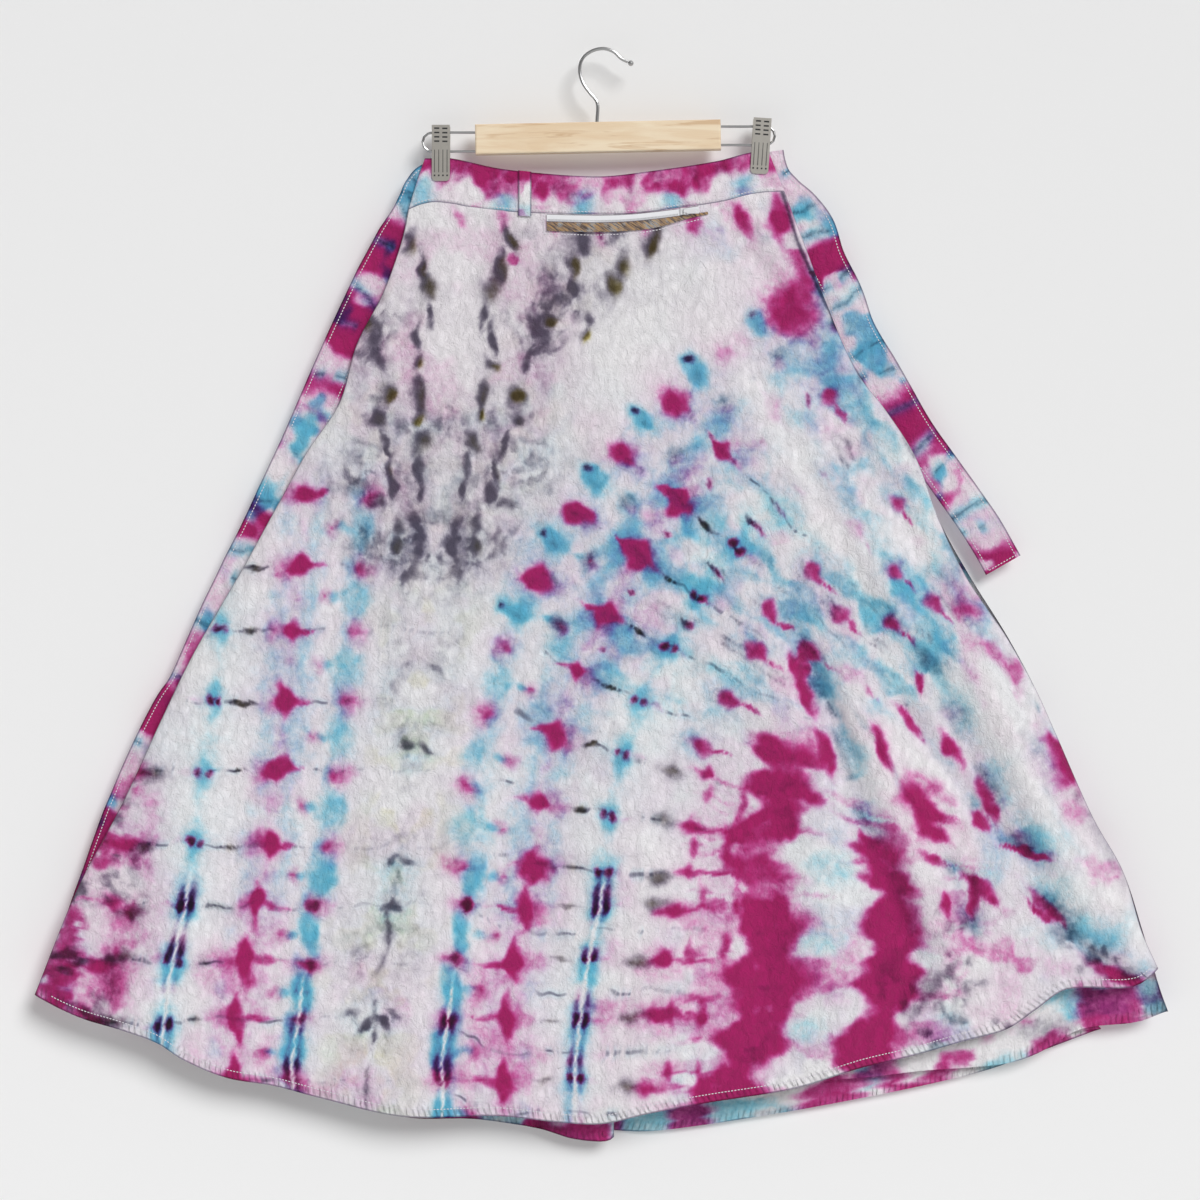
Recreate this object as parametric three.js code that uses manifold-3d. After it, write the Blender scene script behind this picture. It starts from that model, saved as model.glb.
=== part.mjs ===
// A calf-length cotton wrap skirt, hung flat on a wooden-bar hanger with two wire-rail clips.
//
// Frame: millimetres, +Z up, +X to the viewer's right, -Y towards the viewer. The origin is the
// underside of the hook's top, where a nail or rail carries it.
//
// The cloth is built the way it is cut: one waistband strip that winds round in three layers, a
// front panel from fold to fold, an inner wrap panel behind the left half and an outer wrap panel
// behind them both, a tie at each end of the band, a belt loop and a zip pocket under the band.
import Module from 'manifold-3d';
import * as THREE from 'three';
import { mergeVertices } from 'three/addons/utils/BufferGeometryUtils.js';

// ---------------------------------------------------------------- driving dimensions

const CLOTH = 1.2;           // wall of every single panel, the waistband and the ties
const SEAM = 0.3;            // gap between two pieces that are sewn together
const LAYER = 1.7;           // pitch of the cloth layers where the clips press them together
const PANEL_DEPTH = 13;      // how far the front and outer panels part from the band by the hem
const HEM_FOLD = 30;         // reach, across the cloth, of the soft side folds at the hem
const WAIST_FOLD = 3;        // the same at the band
const BAND_SAG = { rise: 6, x: -7, half: 145 }; // forward bulge of the band between the clips
const SAG_DOWN = 0.45;       // share of the front panel's length by which that bulge has gone
const PARTING = 0.8;         // power of the share down by which the layers part
const INNER_DEPTH = 1.5;     // how far the inner panel has moved back by the hem
const OUTER_NEAR = 2.5;      // the same for the outer panel's near level

const TIE_ROWS = 3;          // quads across a tie
const TIE_STEPS = 2;         // quads between two rows of a tie's table
const FOLD_STEPS = 4;        // quads round a side fold
const FRONT_GRID = { across: 27, down: 28 }; // quads of each panel
const INNER_GRID = { across: 12, down: 18 };
const OUTER_GRID = { plain: 10, down: 22 };

const HOOK_WIRE = 3.5;       // diameter
const RAIL_WIRE = 2.6;
const BAR = { width: 246, height: 30, thickness: 13, x: -6, z: -87.5, tiltDeg: 1.15, edge: 1.5 };
const CLIP = {
  width: 18, height: 56, plate: 1.0, corner: 4, frontTop: -4.4, backTop: 7.0, backFoot: 4.6,
};
// the slots in a clip's front plate: two columns, the right one a little lower
const SLOT = {
  rows: 4, first: 3.4, pitch: 4.3, halfWidth: 2.6, halfHeight: 0.8, place: 0.45, stagger: 0.2,
};
const SPRING = { drop: 16.5, radius: 3.1, wire: 1.3, half: 6.5, y: 0.4 };

// ---------------------------------------------------------------- outlines, x and z in mm

// the fold on the viewer's left, from the band's seam to the hem
const LEFT_FOLD = [
  { x: -196, z: -159.5 }, { x: -202, z: -188.5 }, { x: -221, z: -242.5 }, { x: -248, z: -295.5 },
  { x: -265, z: -353.5 }, { x: -298, z: -403.5 }, { x: -325, z: -452.5 }, { x: -359, z: -514.5 },
  { x: -413, z: -608.5 }, { x: -443, z: -670.5 }, { x: -482, z: -754.5 }, { x: -528, z: -842.5 },
  { x: -570, z: -946.5 },
];

// the fold on the viewer's right
const RIGHT_FOLD = [
  { x: 181, z: -141.5 }, { x: 203, z: -199.5 }, { x: 221, z: -248.5 }, { x: 254, z: -323.5 },
  { x: 282, z: -360.5 }, { x: 312, z: -407.5 }, { x: 336, z: -471.5 }, { x: 362, z: -526.5 },
  { x: 404, z: -589.5 }, { x: 432, z: -639.5 }, { x: 451, z: -681.5 }, { x: 490, z: -769.5 },
  { x: 520, z: -823.5 }, { x: 539, z: -884.5 }, { x: 555, z: -920.5 },
];

// the same fold as the outer panel sees it: it slips out a little at the hip and at the hem
const RIGHT_FOLD_OUTER = [
  { x: 181, z: -141.5 }, { x: 203, z: -199.5 }, { x: 221, z: -248.5 }, { x: 254, z: -323.5 },
  { x: 282, z: -360.5 }, { x: 312, z: -407.5 }, { x: 336, z: -471.5 }, { x: 366, z: -526.5 },
  { x: 404, z: -587.5 }, { x: 432, z: -639.5 }, { x: 451, z: -681.5 }, { x: 490, z: -769.5 },
  { x: 520, z: -823.5 }, { x: 540, z: -884.5 }, { x: 558, z: -944.5 }, { x: 565, z: -963.5 },
];

const FRONT_HEM = [
  { x: -570, z: -946.5 }, { x: -523, z: -968.5 }, { x: -479, z: -981.5 }, { x: -446, z: -993.5 },
  { x: -420, z: -1010.5 }, { x: -377, z: -1028.5 }, { x: -330, z: -1036.5 }, { x: -284, z: -1048.5 },
  { x: -202, z: -1066.5 }, { x: -106, z: -1066.5 }, { x: -49, z: -1072.5 }, { x: -4, z: -1074.5 },
  { x: 45, z: -1063.5 }, { x: 96, z: -1054.5 }, { x: 193, z: -1038.5 }, { x: 256, z: -1018.5 },
  { x: 304, z: -1007.5 }, { x: 357, z: -992.5 }, { x: 403, z: -979.5 }, { x: 431, z: -960.5 },
  { x: 458, z: -941.5 }, { x: 479, z: -938.5 }, { x: 530, z: -937.5 }, { x: 555, z: -920.5 },
];

const INNER_HEM = [
  { x: -570, z: -945.5 }, { x: -479, z: -977 }, { x: -420, z: -1004 }, { x: -330, z: -1031 },
  { x: -225, z: -1060.5 }, { x: -198, z: -1070.5 }, { x: -133, z: -1072.5 }, { x: -95, z: -1077.5 },
  { x: -61, z: -1083.5 }, { x: -31, z: -1092.5 }, { x: 4, z: -1094.5 }, { x: 10, z: -1090.5 },
];

// the outer panel's hem as it would lie without its deep fold, from the right fold to its end
const OUTER_HEM = [
  { x: 565, z: -963.5 }, { x: 488, z: -988.5 }, { x: 437, z: -1007.5 }, { x: 361, z: -1033.5 },
  { x: 309, z: -1046.5 }, { x: 238, z: -1060.5 }, { x: 207, z: -1071.5 }, { x: 136, z: -1075.5 },
  { x: 90, z: -1085.5 }, { x: 11, z: -1087 }, { x: -60, z: -1077 }, { x: -225, z: -1055 },
  { x: -330, z: -1029 }, { x: -446, z: -987 }, { x: -490, z: -960 },
];

// the outer panel's free edge, hidden behind the left half
const OUTER_END = [
  { x: -165, z: -151.5 }, { x: -190, z: -250 }, { x: -225, z: -350 }, { x: -290, z: -500 },
  { x: -370, z: -680 }, { x: -440, z: -830 }, { x: -490, z: -960 },
];

// The deep fold of the outer panel, at the hem. share: how far across the cloth from the right
// fold; x, z: where the hem lies; layer: 0 next to the front, 1 next to the wall.
const DEEP_FOLD = [
  { share: 0.000, x: 565, z: -963.5, layer: 0.0 },
  { share: 0.024, x: 536, z: -975.5, layer: 0.0 },
  { share: 0.060, x: 477, z: -983.5, layer: 0.0 },
  { share: 0.078, x: 437, z: -1006.5, layer: 0.0 },
  { share: 0.096, x: 403, z: -1017.5, layer: 0.0 },
  { share: 0.140, x: 319, z: -1024.5, layer: 0.0 },
  { share: 0.172, x: 258, z: -1031.5, layer: 0.0 },
  { share: 0.205, x: 183, z: -1035.5, layer: 0.04 },
  { share: 0.220, x: 173, z: -1035.5, layer: 0.25 },
  { share: 0.235, x: 183, z: -1034.5, layer: 0.46 },
  { share: 0.290, x: 337, z: -1006.5, layer: 0.5 },
  { share: 0.345, x: 492, z: -983.5, layer: 0.54 },
  { share: 0.360, x: 501, z: -983.5, layer: 0.75 },
  { share: 0.375, x: 490, z: -987.5, layer: 0.96 },
  { share: 0.400, x: 437, z: -1007.5, layer: 1.0 },
  { share: 0.440, x: 361, z: -1033.5, layer: 1.0 },
  { share: 0.500, x: 238, z: -1060.5, layer: 1.0 },
];
const DEEP_FOLD_START = 0.36; // how far down the panel the fold begins
const DEEP_FOLD_OPENS = 1.2;  // power by which it opens from there
const DEEP_FOLD_SETTLE = 0.42; // shares from which and by which its hem joins the plain hem
const DEEP_FOLD_BLEND = 0.5;
const PLAIN_LAYER = { from: 0.05, to: 0.5 };  // shares across which the plain cloth goes back
const FOLDED_LAYER = { from: 0.3, to: 0.62 }; // shares down by which the fold's layers take over

// the waistband's lower edge, which is also the top of the panels, and its upper edge
const BAND_LOWER = [
  { x: -196, z: -159.2 }, { x: -185, z: -154.7 }, { x: -170, z: -151.7 }, { x: -150, z: -153.7 },
  { x: -134, z: -157 }, { x: -86, z: -162.2 }, { x: -10, z: -165.2 }, { x: 36, z: -163.2 },
  { x: 113, z: -152.2 }, { x: 156, z: -142.6 }, { x: 181, z: -141.2 },
];
const BAND_UPPER = [
  { x: -180, z: -108.5 }, { x: -154, z: -108.5 }, { x: -104, z: -119.1 }, { x: -44, z: -125.8 },
  { x: -4, z: -127.6 }, { x: 36, z: -123.5 }, { x: 113, z: -111.5 }, { x: 148, z: -102.5 },
  { x: 166, z: -102.5 },
];
const BAND_DROP = 1.5;       // the hidden layers of the band hang this much lower
const BAND_INNER_END = 10;   // x where the inner layer ends, at the inner panel's free edge
const BAND_OUTER_END = -165; // x where the outer layer ends and the long tie starts

// ---------------------------------------------------------------- folds pressed into the panels

// Soft ridges (rise > 0, away from the hollow) and troughs (rise < 0) along straight runs, which
// fade past their ends; and how many reaches of a side fold they stay clear of.
const FOLD_FADE = { before: -0.25, begun: 0.25, ending: 0.95, ended: 1.3 };
const FOLD_CLEAR = { front: 2.2, innerFrom: 1, innerTo: 3, outer: 0.06 };
const FRONT_FOLDS = [
  { x0: 186, z0: -571, x1: 301, z1: -871, half: 17, rise: -6 },
  { x0: 236, z0: -610, x1: 340, z1: -890, half: 26, rise: 8 },
  { x0: 318, z0: -610, x1: 424, z1: -805, half: 19, rise: -6.5 },
  { x0: 366, z0: -600, x1: 470, z1: -830, half: 26, rise: 8 },
  { x0: 433, z0: -849, x1: 531, z1: -930, half: 18, rise: -5 },
  { x0: 470, z0: -800, x1: 538, z1: -890, half: 22, rise: 5 },
  { x0: 96, z0: -251, x1: 256, z1: -511, half: 42, rise: 4 },
  { x0: 341, z0: -812, x1: 368, z1: -882, half: 16, rise: -4 },
  { x0: 205, z0: -800, x1: 250, z1: -1000, half: 30, rise: 4 },
  { x0: -404, z0: -750, x1: -454, z1: -980, half: 46, rise: 4 },
  { x0: -174, z0: -650, x1: -184, z1: -1060, half: 60, rise: 5 },
  { x0: 16, z0: -650, x1: 36, z1: -1060, half: 55, rise: 5 },
];
const INNER_FOLDS = [
  { x0: -290, z0: -560, x1: -330, z1: -1000, half: 45, rise: -4 },
  { x0: -90, z0: -520, x1: -100, z1: -1080, half: 50, rise: -4 },
];
const OUTER_FOLDS = [
  { x0: -250, z0: -520, x1: -330, z1: -1010, half: 46, rise: 6 },
  { x0: -100, z0: -420, x1: -150, z1: -1070, half: 40, rise: 7 },
  { x0: 0, z0: -480, x1: 10, z1: -1080, half: 44, rise: 7 },
  { x0: 110, z0: -450, x1: 150, z1: -1060, half: 36, rise: 6 },
];

// ---------------------------------------------------------------- ties, along their middle line

// y: depth; width: the strip's width there, less where it is gathered
const LEFT_TIE = [
  { x: -166.2, z: -130, y: 1.7, width: 38 }, { x: -177, z: -130, y: 1.9, width: 34 },
  { x: -187, z: -137, y: 2.5, width: 27 }, { x: -193, z: -148, y: 3.2, width: 25 },
  { x: -199, z: -164, y: 3.6, width: 29 }, { x: -210, z: -187, y: 3.7, width: 36 },
  { x: -230, z: -228, y: 3.8, width: 40 }, { x: -265, z: -303.5, y: 4.2, width: 40 },
  { x: -305, z: -395.5, y: 4.4, width: 40 }, { x: -341, z: -472.5, y: 4.5, width: 40 },
  { x: -382, z: -556.5, y: 4.6, width: 40 }, { x: -420, z: -640, y: 4.8, width: 40 },
  { x: -434, z: -661.5, y: 4.8, width: 40 }, { x: -475, z: -747.5, y: 5.0, width: 40 },
  { x: -510, z: -842.5, y: 5.2, width: 40 }, { x: -526, z: -888, y: 5.2, width: 40 },
];
const RIGHT_TIE = [
  { x: 161, z: -102, y: 3.4, width: 39 }, { x: 163, z: -115, y: 3.4, width: 40 },
  { x: 169, z: -130, y: 3.5, width: 40 }, { x: 183, z: -144.5, y: 3.9, width: 38 },
  { x: 198, z: -158, y: 4.4, width: 39 }, { x: 212, z: -178, y: 4.8, width: 41 },
  { x: 222, z: -208.5, y: 5.2, width: 41 }, { x: 241, z: -246.5, y: 5.5, width: 40 },
  { x: 253, z: -280.5, y: 5.7, width: 40 }, { x: 277, z: -321.5, y: 5.8, width: 40 },
  { x: 312, z: -382.5, y: 6.0, width: 40 }, { x: 341, z: -423.5, y: 6.2, width: 40 },
  { x: 379, z: -477.5, y: 6.6, width: 40 }, { x: 401.5, z: -516.5, y: 7.0, width: 40 },
];

// ---------------------------------------------------------------- hook wire, along its middle

const HOOK_PATH = [
  { x: -7, z: -72 }, { x: -7, z: -52 }, { x: -14, z: -43 }, { x: -21, z: -33 }, { x: -24.5, z: -20 },
  { x: -21.5, z: -8 }, { x: -12, z: -0.5 }, { x: 0, z: 1.75 }, { x: 10, z: -1.5 }, { x: 17, z: -8 },
  { x: 24, z: -11.5 },
];
const HOOK_BALL = 2.9;       // radius of the ball on the wire's end

// ---------------------------------------------------------------- zip pocket

const ZIP = {
  shareLeft: 0.368,          // across the front panel, from its left fold
  shareRight: 0.77,
  upperTop: 0.0016,          // down the front panel, as a share of its length
  upperBottom: 0.0086,
  lowerTop: 0.0092,
  lowerBottom: 0.0186,
  lowerRight: 0.79,          // the lower strip's right end, and where it starts and ends its taper
  taperFrom: 0.626,
  taperTo: 0.774,
  tipHeight: 0.0028,
  thickness: 0.8,
  steps: 16,
};
// the slider's place and body, its two ears and the pin between them
const SLIDER = {
  x: 80.5, z: -162.6, width: 8, height: 6.5, depth: 1.6, ear: 1.2, earWidth: 1.6, earBeyond: 1,
  pin: 0.55, pinRise: 1.4, pinEnds: 0.5,
  shareFrom: 0.717, shareTo: 0.742, // across the front panel, from one side of it to the other
};
const PULL = {
  length: 14.5, width: 4.6, thickness: 1.0, plateFrom: 2.2, neckFrom: 0.3, neckLength: 3,
  eyeOuter: 1.2, eyeInner: 0.75, eyeHeight: 2.6, hole: 1.1, holeInset: 3,
};

// ---------------------------------------------------------------- small helpers

const smooth = (a, b, value) => {
  const t = Math.min(1, Math.max(0, (value - a) / (b - a)));
  return t * t * (3 - 2 * t);
};
const mix = (a, b, t) => a + (b - a) * t;
const even = (steps) => Array.from({ length: steps + 1 }, (_, k) => k / steps);

// an even-paced curve through the rows of an outline: t from 0 to 1 gives { x, z }
function outline(rows) {
  const curve = new THREE.CatmullRomCurve3(rows.map((row) => new THREE.Vector3(row.x, 0, row.z)),
    false, 'centripetal');
  curve.arcLengthDivisions = 400;
  return (t) => {
    const point = curve.getPointAt(Math.min(1, Math.max(0, t)));
    return { x: point.x, z: point.z };
  };
}

// a column of a table as a function of another column, straight between rows and eased at them
function column(rows, key, by) {
  return (at) => {
    let i = 0;
    while (i < rows.length - 2 && rows[i + 1][by] < at) i += 1;
    const here = rows[i];
    const next = rows[i + 1];
    const before = rows[Math.max(0, i - 1)];
    const after = rows[Math.min(rows.length - 1, i + 2)];
    const span = next[by] - here[by];
    const t = Math.min(1, Math.max(0, (at - here[by]) / span));
    const slopeIn = (next[key] - before[key]) / (next[by] - before[by] || 1);
    const slopeOut = (after[key] - here[key]) / (after[by] - here[by] || 1);
    const flat = (slope) => {
      const chord = (next[key] - here[key]) / span;
      return chord * slope <= 0 ? 0 : Math.sign(chord) * Math.min(Math.abs(slope), 3 * Math.abs(chord));
    };
    const t2 = t * t;
    const t3 = t2 * t;
    return (2 * t3 - 3 * t2 + 1) * here[key] + (t3 - 2 * t2 + t) * span * flat(slopeIn)
      + (3 * t2 - 2 * t3) * next[key] + (t3 - t2) * span * flat(slopeOut);
  };
}

// a patch between four edges that share their corners: across and down run from 0 to 1
function patch(top, bottom, left, right) {
  const corners = [top(0), top(1), bottom(0), bottom(1)];
  return (across, down) => {
    const t = top(across);
    const b = bottom(across);
    const l = left(down);
    const r = right(down);
    const blend = (key) => mix(t[key], b[key], down) + mix(l[key], r[key], across)
      - mix(mix(corners[0][key], corners[1][key], across),
        mix(corners[2][key], corners[3][key], across), down);
    return { x: blend('x'), z: blend('z') };
  };
}

// height of the pressed folds at a place on a panel
function foldRise(folds, x, z) {
  let rise = 0;
  for (const fold of folds) {
    const dx = fold.x1 - fold.x0;
    const dz = fold.z1 - fold.z0;
    const length = Math.hypot(dx, dz);
    const along = ((x - fold.x0) * dx + (z - fold.z0) * dz) / (length * length);
    const off = ((x - fold.x0) * dz - (z - fold.z0) * dx) / length;
    const begun = smooth(FOLD_FADE.before, FOLD_FADE.begun, along);
    const left = 1 - smooth(FOLD_FADE.ending, FOLD_FADE.ended, along);
    rise += fold.rise * begun * left * Math.exp(-((off / fold.half) ** 2));
  }
  return rise;
}

// ---------------------------------------------------------------- closed meshes

function solid(name, positions, triangles, material) {
  const geometry = new THREE.BufferGeometry();
  geometry.setAttribute('position', new THREE.Float32BufferAttribute(positions, 3));
  geometry.setIndex(triangles);
  const mesh = new THREE.Mesh(geometry, material);
  mesh.name = name;
  return mesh;
}

// the neighbour of an end column: on a round side fold, the next column mirrored in depth
function neighbour(row, i, step, folded) {
  const next = i + step;
  if (next >= 0 && next < row.length) return row[next];
  if (!folded) return row[i];
  const inside = row[i - step];
  return new THREE.Vector3(inside.x, 2 * row[i].y - inside.y, inside.z);
}

// A cloth wall: a grid of middle-surface points with half the thickness added to each side along
// the grid's normal. rows[j][i] runs down and across; the front of the cloth faces -Y. folds says
// which end columns lie at the turn of a side fold.
function wall(name, rows, thickness, material, folds = { start: false, end: false }) {
  const high = rows.length;
  const wide = rows[0].length;
  const positions = [];
  const a = new THREE.Vector3();
  const b = new THREE.Vector3();
  for (const side of [-1, 1]) {
    for (let j = 0; j < high; j += 1) {
      for (let i = 0; i < wide; i += 1) {
        a.subVectors(neighbour(rows[j], i, 1, folds.end), neighbour(rows[j], i, -1, folds.start));
        b.subVectors(rows[Math.max(0, j - 1)][i], rows[Math.min(high - 1, j + 1)][i]);
        a.cross(b).normalize().multiplyScalar(-side * thickness / 2);
        a.add(rows[j][i]);
        positions.push(a.x, a.y, a.z);
      }
    }
  }
  const triangles = [];
  const at = (side, j, i) => side * high * wide + j * wide + i;
  const quad = (p, q, r, s) => triangles.push(p, q, r, p, r, s);
  for (let j = 0; j < high - 1; j += 1) {
    for (let i = 0; i < wide - 1; i += 1) {
      quad(at(0, j, i), at(0, j + 1, i), at(0, j + 1, i + 1), at(0, j, i + 1));
      quad(at(1, j, i), at(1, j, i + 1), at(1, j + 1, i + 1), at(1, j + 1, i));
    }
  }
  for (let i = 0; i < wide - 1; i += 1) {
    quad(at(0, 0, i), at(0, 0, i + 1), at(1, 0, i + 1), at(1, 0, i));
    quad(at(0, high - 1, i + 1), at(0, high - 1, i), at(1, high - 1, i), at(1, high - 1, i + 1));
  }
  for (let j = 0; j < high - 1; j += 1) {
    quad(at(0, j + 1, 0), at(0, j, 0), at(1, j, 0), at(1, j + 1, 0));
    quad(at(0, j, wide - 1), at(0, j + 1, wide - 1), at(1, j + 1, wide - 1), at(1, j, wide - 1));
  }
  return solid(name, positions, triangles, material);
}

// places round a side fold, as shares of its reach, closer together towards the turn
const FOLD_TURN = even(FOLD_STEPS).slice(0, -1).map((t) => 1 - Math.cos((t * Math.PI) / 2));

// places across a panel: round the fold where it starts, even steps, and round one where it ends
function acrossPlaces(steps, foldShare, foldAtEnd) {
  const turns = FOLD_TURN.map((turn) => turn * foldShare);
  const places = [...turns];
  const to = foldAtEnd ? 1 - foldShare : 1;
  for (const t of even(steps)) places.push(mix(foldShare, to, t));
  if (foldAtEnd) places.push(...turns.map((turn) => 1 - turn).reverse());
  return places;
}

// ---------------------------------------------------------------- depth of the layers

const growth = (down) => down ** PARTING;
const frontDepth = (down) => -LAYER - PANEL_DEPTH * growth(down);
const innerDepth = (down) => INNER_DEPTH * growth(down);
const outerNear = (down) => LAYER + OUTER_NEAR * growth(down);
const outerFar = (down) => LAYER + PANEL_DEPTH * growth(down);
const foldReach = (down) => mix(WAIST_FOLD, HEM_FOLD, growth(down));

// a panel's depth near a fold that it shares with the layer on the other side, clear of that
// layer by the seam
function roundedFold(distance, reach, middle, depth) {
  if (distance >= reach) return depth;
  const start = middle + Math.sign(depth - middle) * SEAM;
  return start + (depth - start) * Math.sqrt(1 - (1 - distance / reach) ** 2);
}

// ---------------------------------------------------------------- waistband

const bandLowerZ = column(BAND_LOWER, 'z', 'x');
const bandUpperZ = column(BAND_UPPER, 'z', 'x');
const bandSag = (x) => BAND_SAG.rise * smooth(0, 1, 1 - Math.abs(x - BAND_SAG.x) / BAND_SAG.half);

// columns of the outer panel past its side fold: those of the deep fold, then even steps
function outerShares() {
  const folded = DEEP_FOLD.slice(2).map((row) => row.share);
  const plain = even(OUTER_GRID.plain).slice(1).map((t) => mix(DEEP_FOLD_BLEND, 1, t));
  return [...folded, ...plain];
}

// a point of the band's middle surface: along its winding, and up from 0 to 1
function bandPoint(stretch, t, up) {
  const leftEdge = mix(BAND_LOWER[0].x, BAND_UPPER[0].x, up);
  const rightEdge = mix(BAND_LOWER.at(-1).x, BAND_UPPER.at(-1).x, up);
  const leftRadius = LAYER / 2;
  const rightRadius = LAYER;
  const height = (x, drop) => mix(bandLowerZ(x), bandUpperZ(x) - drop, up);
  if (stretch === 'inner') {
    const x = mix(BAND_INNER_END, leftEdge + leftRadius, t);
    return new THREE.Vector3(x, 0, height(x, BAND_DROP));
  }
  if (stretch === 'leftTurn') {
    const x = leftEdge + leftRadius * (1 - Math.sin(t * Math.PI));
    const y = -leftRadius + leftRadius * Math.cos(t * Math.PI);
    return new THREE.Vector3(x, y, height(x, BAND_DROP * (1 - t)));
  }
  if (stretch === 'front') {
    const x = mix(leftEdge + leftRadius, rightEdge - rightRadius, t);
    return new THREE.Vector3(x, -LAYER - bandSag(x), height(x, 0));
  }
  if (stretch === 'rightTurn') {
    const x = rightEdge - rightRadius * (1 - Math.sin(t * Math.PI));
    const y = -rightRadius * Math.cos(t * Math.PI);
    return new THREE.Vector3(x, y, height(x, BAND_DROP * t));
  }
  const x = mix(rightEdge - rightRadius, BAND_OUTER_END, t);
  return new THREE.Vector3(x, LAYER, height(x, BAND_DROP));
}

// the band's columns stand over those of the panel below, so that the seam stays even
const underPanel = (fromX, toX, places) => places.map((x) => (x - fromX) / (toX - fromX));

function bandStretches() {
  const leftX = BAND_LOWER[0].x;
  const rightX = BAND_LOWER.at(-1).x;
  const inner = even(INNER_GRID.across).map((t) => mix(BAND_INNER_END, leftX + WAIST_FOLD, t));
  const outer = outerShares().map((share) => mix(rightX, BAND_OUTER_END, share));
  return [
    { name: 'inner', places: underPanel(BAND_INNER_END, leftX + LAYER / 2, inner) },
    { name: 'leftTurn', places: even(4) },
    { name: 'front', places: even(FRONT_GRID.across) },
    { name: 'rightTurn', places: even(5) },
    { name: 'outer', places: [0, ...underPanel(rightX - LAYER, BAND_OUTER_END, outer)] },
  ];
}

function waistband(material) {
  const rows = [];
  for (const up of [1, 0.5, 0]) {
    const row = [];
    for (const stretch of bandStretches()) {
      const places = row.length ? stretch.places.slice(1) : stretch.places;
      for (const t of places) row.push(bandPoint(stretch.name, t, up));
    }
    rows.push(row);
  }
  return wall('waistband', rows, CLOTH, material);
}

// the seam under the band, as the top edge of a panel from one x to another
const seamLine = (fromX, toX) => (t) => {
  const x = mix(fromX, toX, t);
  return { x, z: bandLowerZ(x) - SEAM };
};

// ---------------------------------------------------------------- panels

// an edge's rows with the first one moved to the seam under the band
const fromSeam = (rows) => [{ x: rows[0].x, z: bandLowerZ(rows[0].x) - SEAM }, ...rows.slice(1)];

const bandLeft = BAND_LOWER[0].x;
const bandRight = BAND_LOWER.at(-1).x;
const leftFold = outline(fromSeam(LEFT_FOLD));
const frontPatch = patch(seamLine(bandLeft, bandRight), outline(FRONT_HEM), leftFold,
  outline(fromSeam(RIGHT_FOLD)));
const innerPatch = patch(seamLine(bandLeft, BAND_INNER_END), outline(INNER_HEM), leftFold,
  (down) => ({ x: BAND_INNER_END, z: mix(bandLowerZ(BAND_INNER_END) - SEAM, INNER_HEM.at(-1).z, down) }));
const outerPatch = patch(seamLine(bandRight, BAND_OUTER_END), outline(OUTER_HEM),
  outline(fromSeam(RIGHT_FOLD_OUTER)), outline(fromSeam(OUTER_END)));

const panelWidth = (piece, down) => Math.abs(piece(1, down).x - piece(0, down).x);

// the front panel's middle surface
function frontPoint(across, down) {
  const place = frontPatch(across, down);
  const width = panelWidth(frontPatch, down);
  const reach = foldReach(down);
  const near = Math.min(across, 1 - across) * width;
  const leftMiddle = (frontDepth(down) + innerDepth(down)) / 2;
  const rightMiddle = (frontDepth(down) + outerNear(down)) / 2;
  const middle = across < 0.5 ? leftMiddle : rightMiddle;
  const lift = smooth(0, FOLD_CLEAR.front, near / reach);
  const sag = bandSag(place.x) * (1 - smooth(0, SAG_DOWN, down));
  const depth = frontDepth(down) - lift * (foldRise(FRONT_FOLDS, place.x, place.z) + sag);
  return new THREE.Vector3(place.x, roundedFold(near, reach, middle, depth), place.z);
}

function innerPoint(across, down) {
  const place = innerPatch(across, down);
  const reach = foldReach(down);
  const near = across * panelWidth(innerPatch, down);
  const middle = (frontDepth(down) + innerDepth(down)) / 2;
  const lift = smooth(FOLD_CLEAR.innerFrom, FOLD_CLEAR.innerTo, near / reach);
  const depth = innerDepth(down) - lift * foldRise(INNER_FOLDS, place.x, place.z);
  return new THREE.Vector3(place.x, roundedFold(near, reach, middle, depth), place.z);
}

const deepX = column(DEEP_FOLD, 'x', 'share');
const deepZ = column(DEEP_FOLD, 'z', 'share');
const deepLayer = column(DEEP_FOLD, 'layer', 'share');
const outerHemPlace = outline(OUTER_HEM);

// The outer panel: a plain panel from the right fold to its free end, moved sideways near the
// hem where the cloth doubles back on itself in one deep fold.
function outerPoint(across, down) {
  const place = outerPatch(across, down);
  const past = Math.max(0, (down - DEEP_FOLD_START) / (1 - DEEP_FOLD_START));
  const opened = past ** DEEP_FOLD_OPENS;
  if (across < DEEP_FOLD_BLEND) {
    const unfolded = outerHemPlace(across);
    const settle = 1 - smooth(DEEP_FOLD_SETTLE, DEEP_FOLD_BLEND, across);
    place.x += opened * settle * (deepX(across) - unfolded.x);
    place.z += opened * settle * (deepZ(across) - unfolded.z);
  }
  const reach = foldReach(down);
  const near = across * panelWidth(outerPatch, down);
  const middle = (frontDepth(down) + outerNear(down)) / 2;
  const plain = smooth(PLAIN_LAYER.from, PLAIN_LAYER.to, across);
  const folded = smooth(FOLDED_LAYER.from, FOLDED_LAYER.to, down);
  const far = across < DEEP_FOLD_BLEND ? mix(plain, deepLayer(across), folded) : 1;
  const lift = smooth(DEEP_FOLD_BLEND - FOLD_CLEAR.outer, DEEP_FOLD_BLEND + FOLD_CLEAR.outer, across);
  const depth = mix(outerNear(down), outerFar(down), far)
    + lift * foldRise(OUTER_FOLDS, place.x, place.z);
  return new THREE.Vector3(place.x, roundedFold(near, reach, middle, depth), place.z);
}

function grid(pointAt, placesAt, downSteps) {
  const rows = [];
  for (let j = 0; j <= downSteps; j += 1) {
    const down = j / downSteps;
    rows.push(placesAt(down).map((across) => pointAt(across, down)));
  }
  return rows;
}

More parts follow.
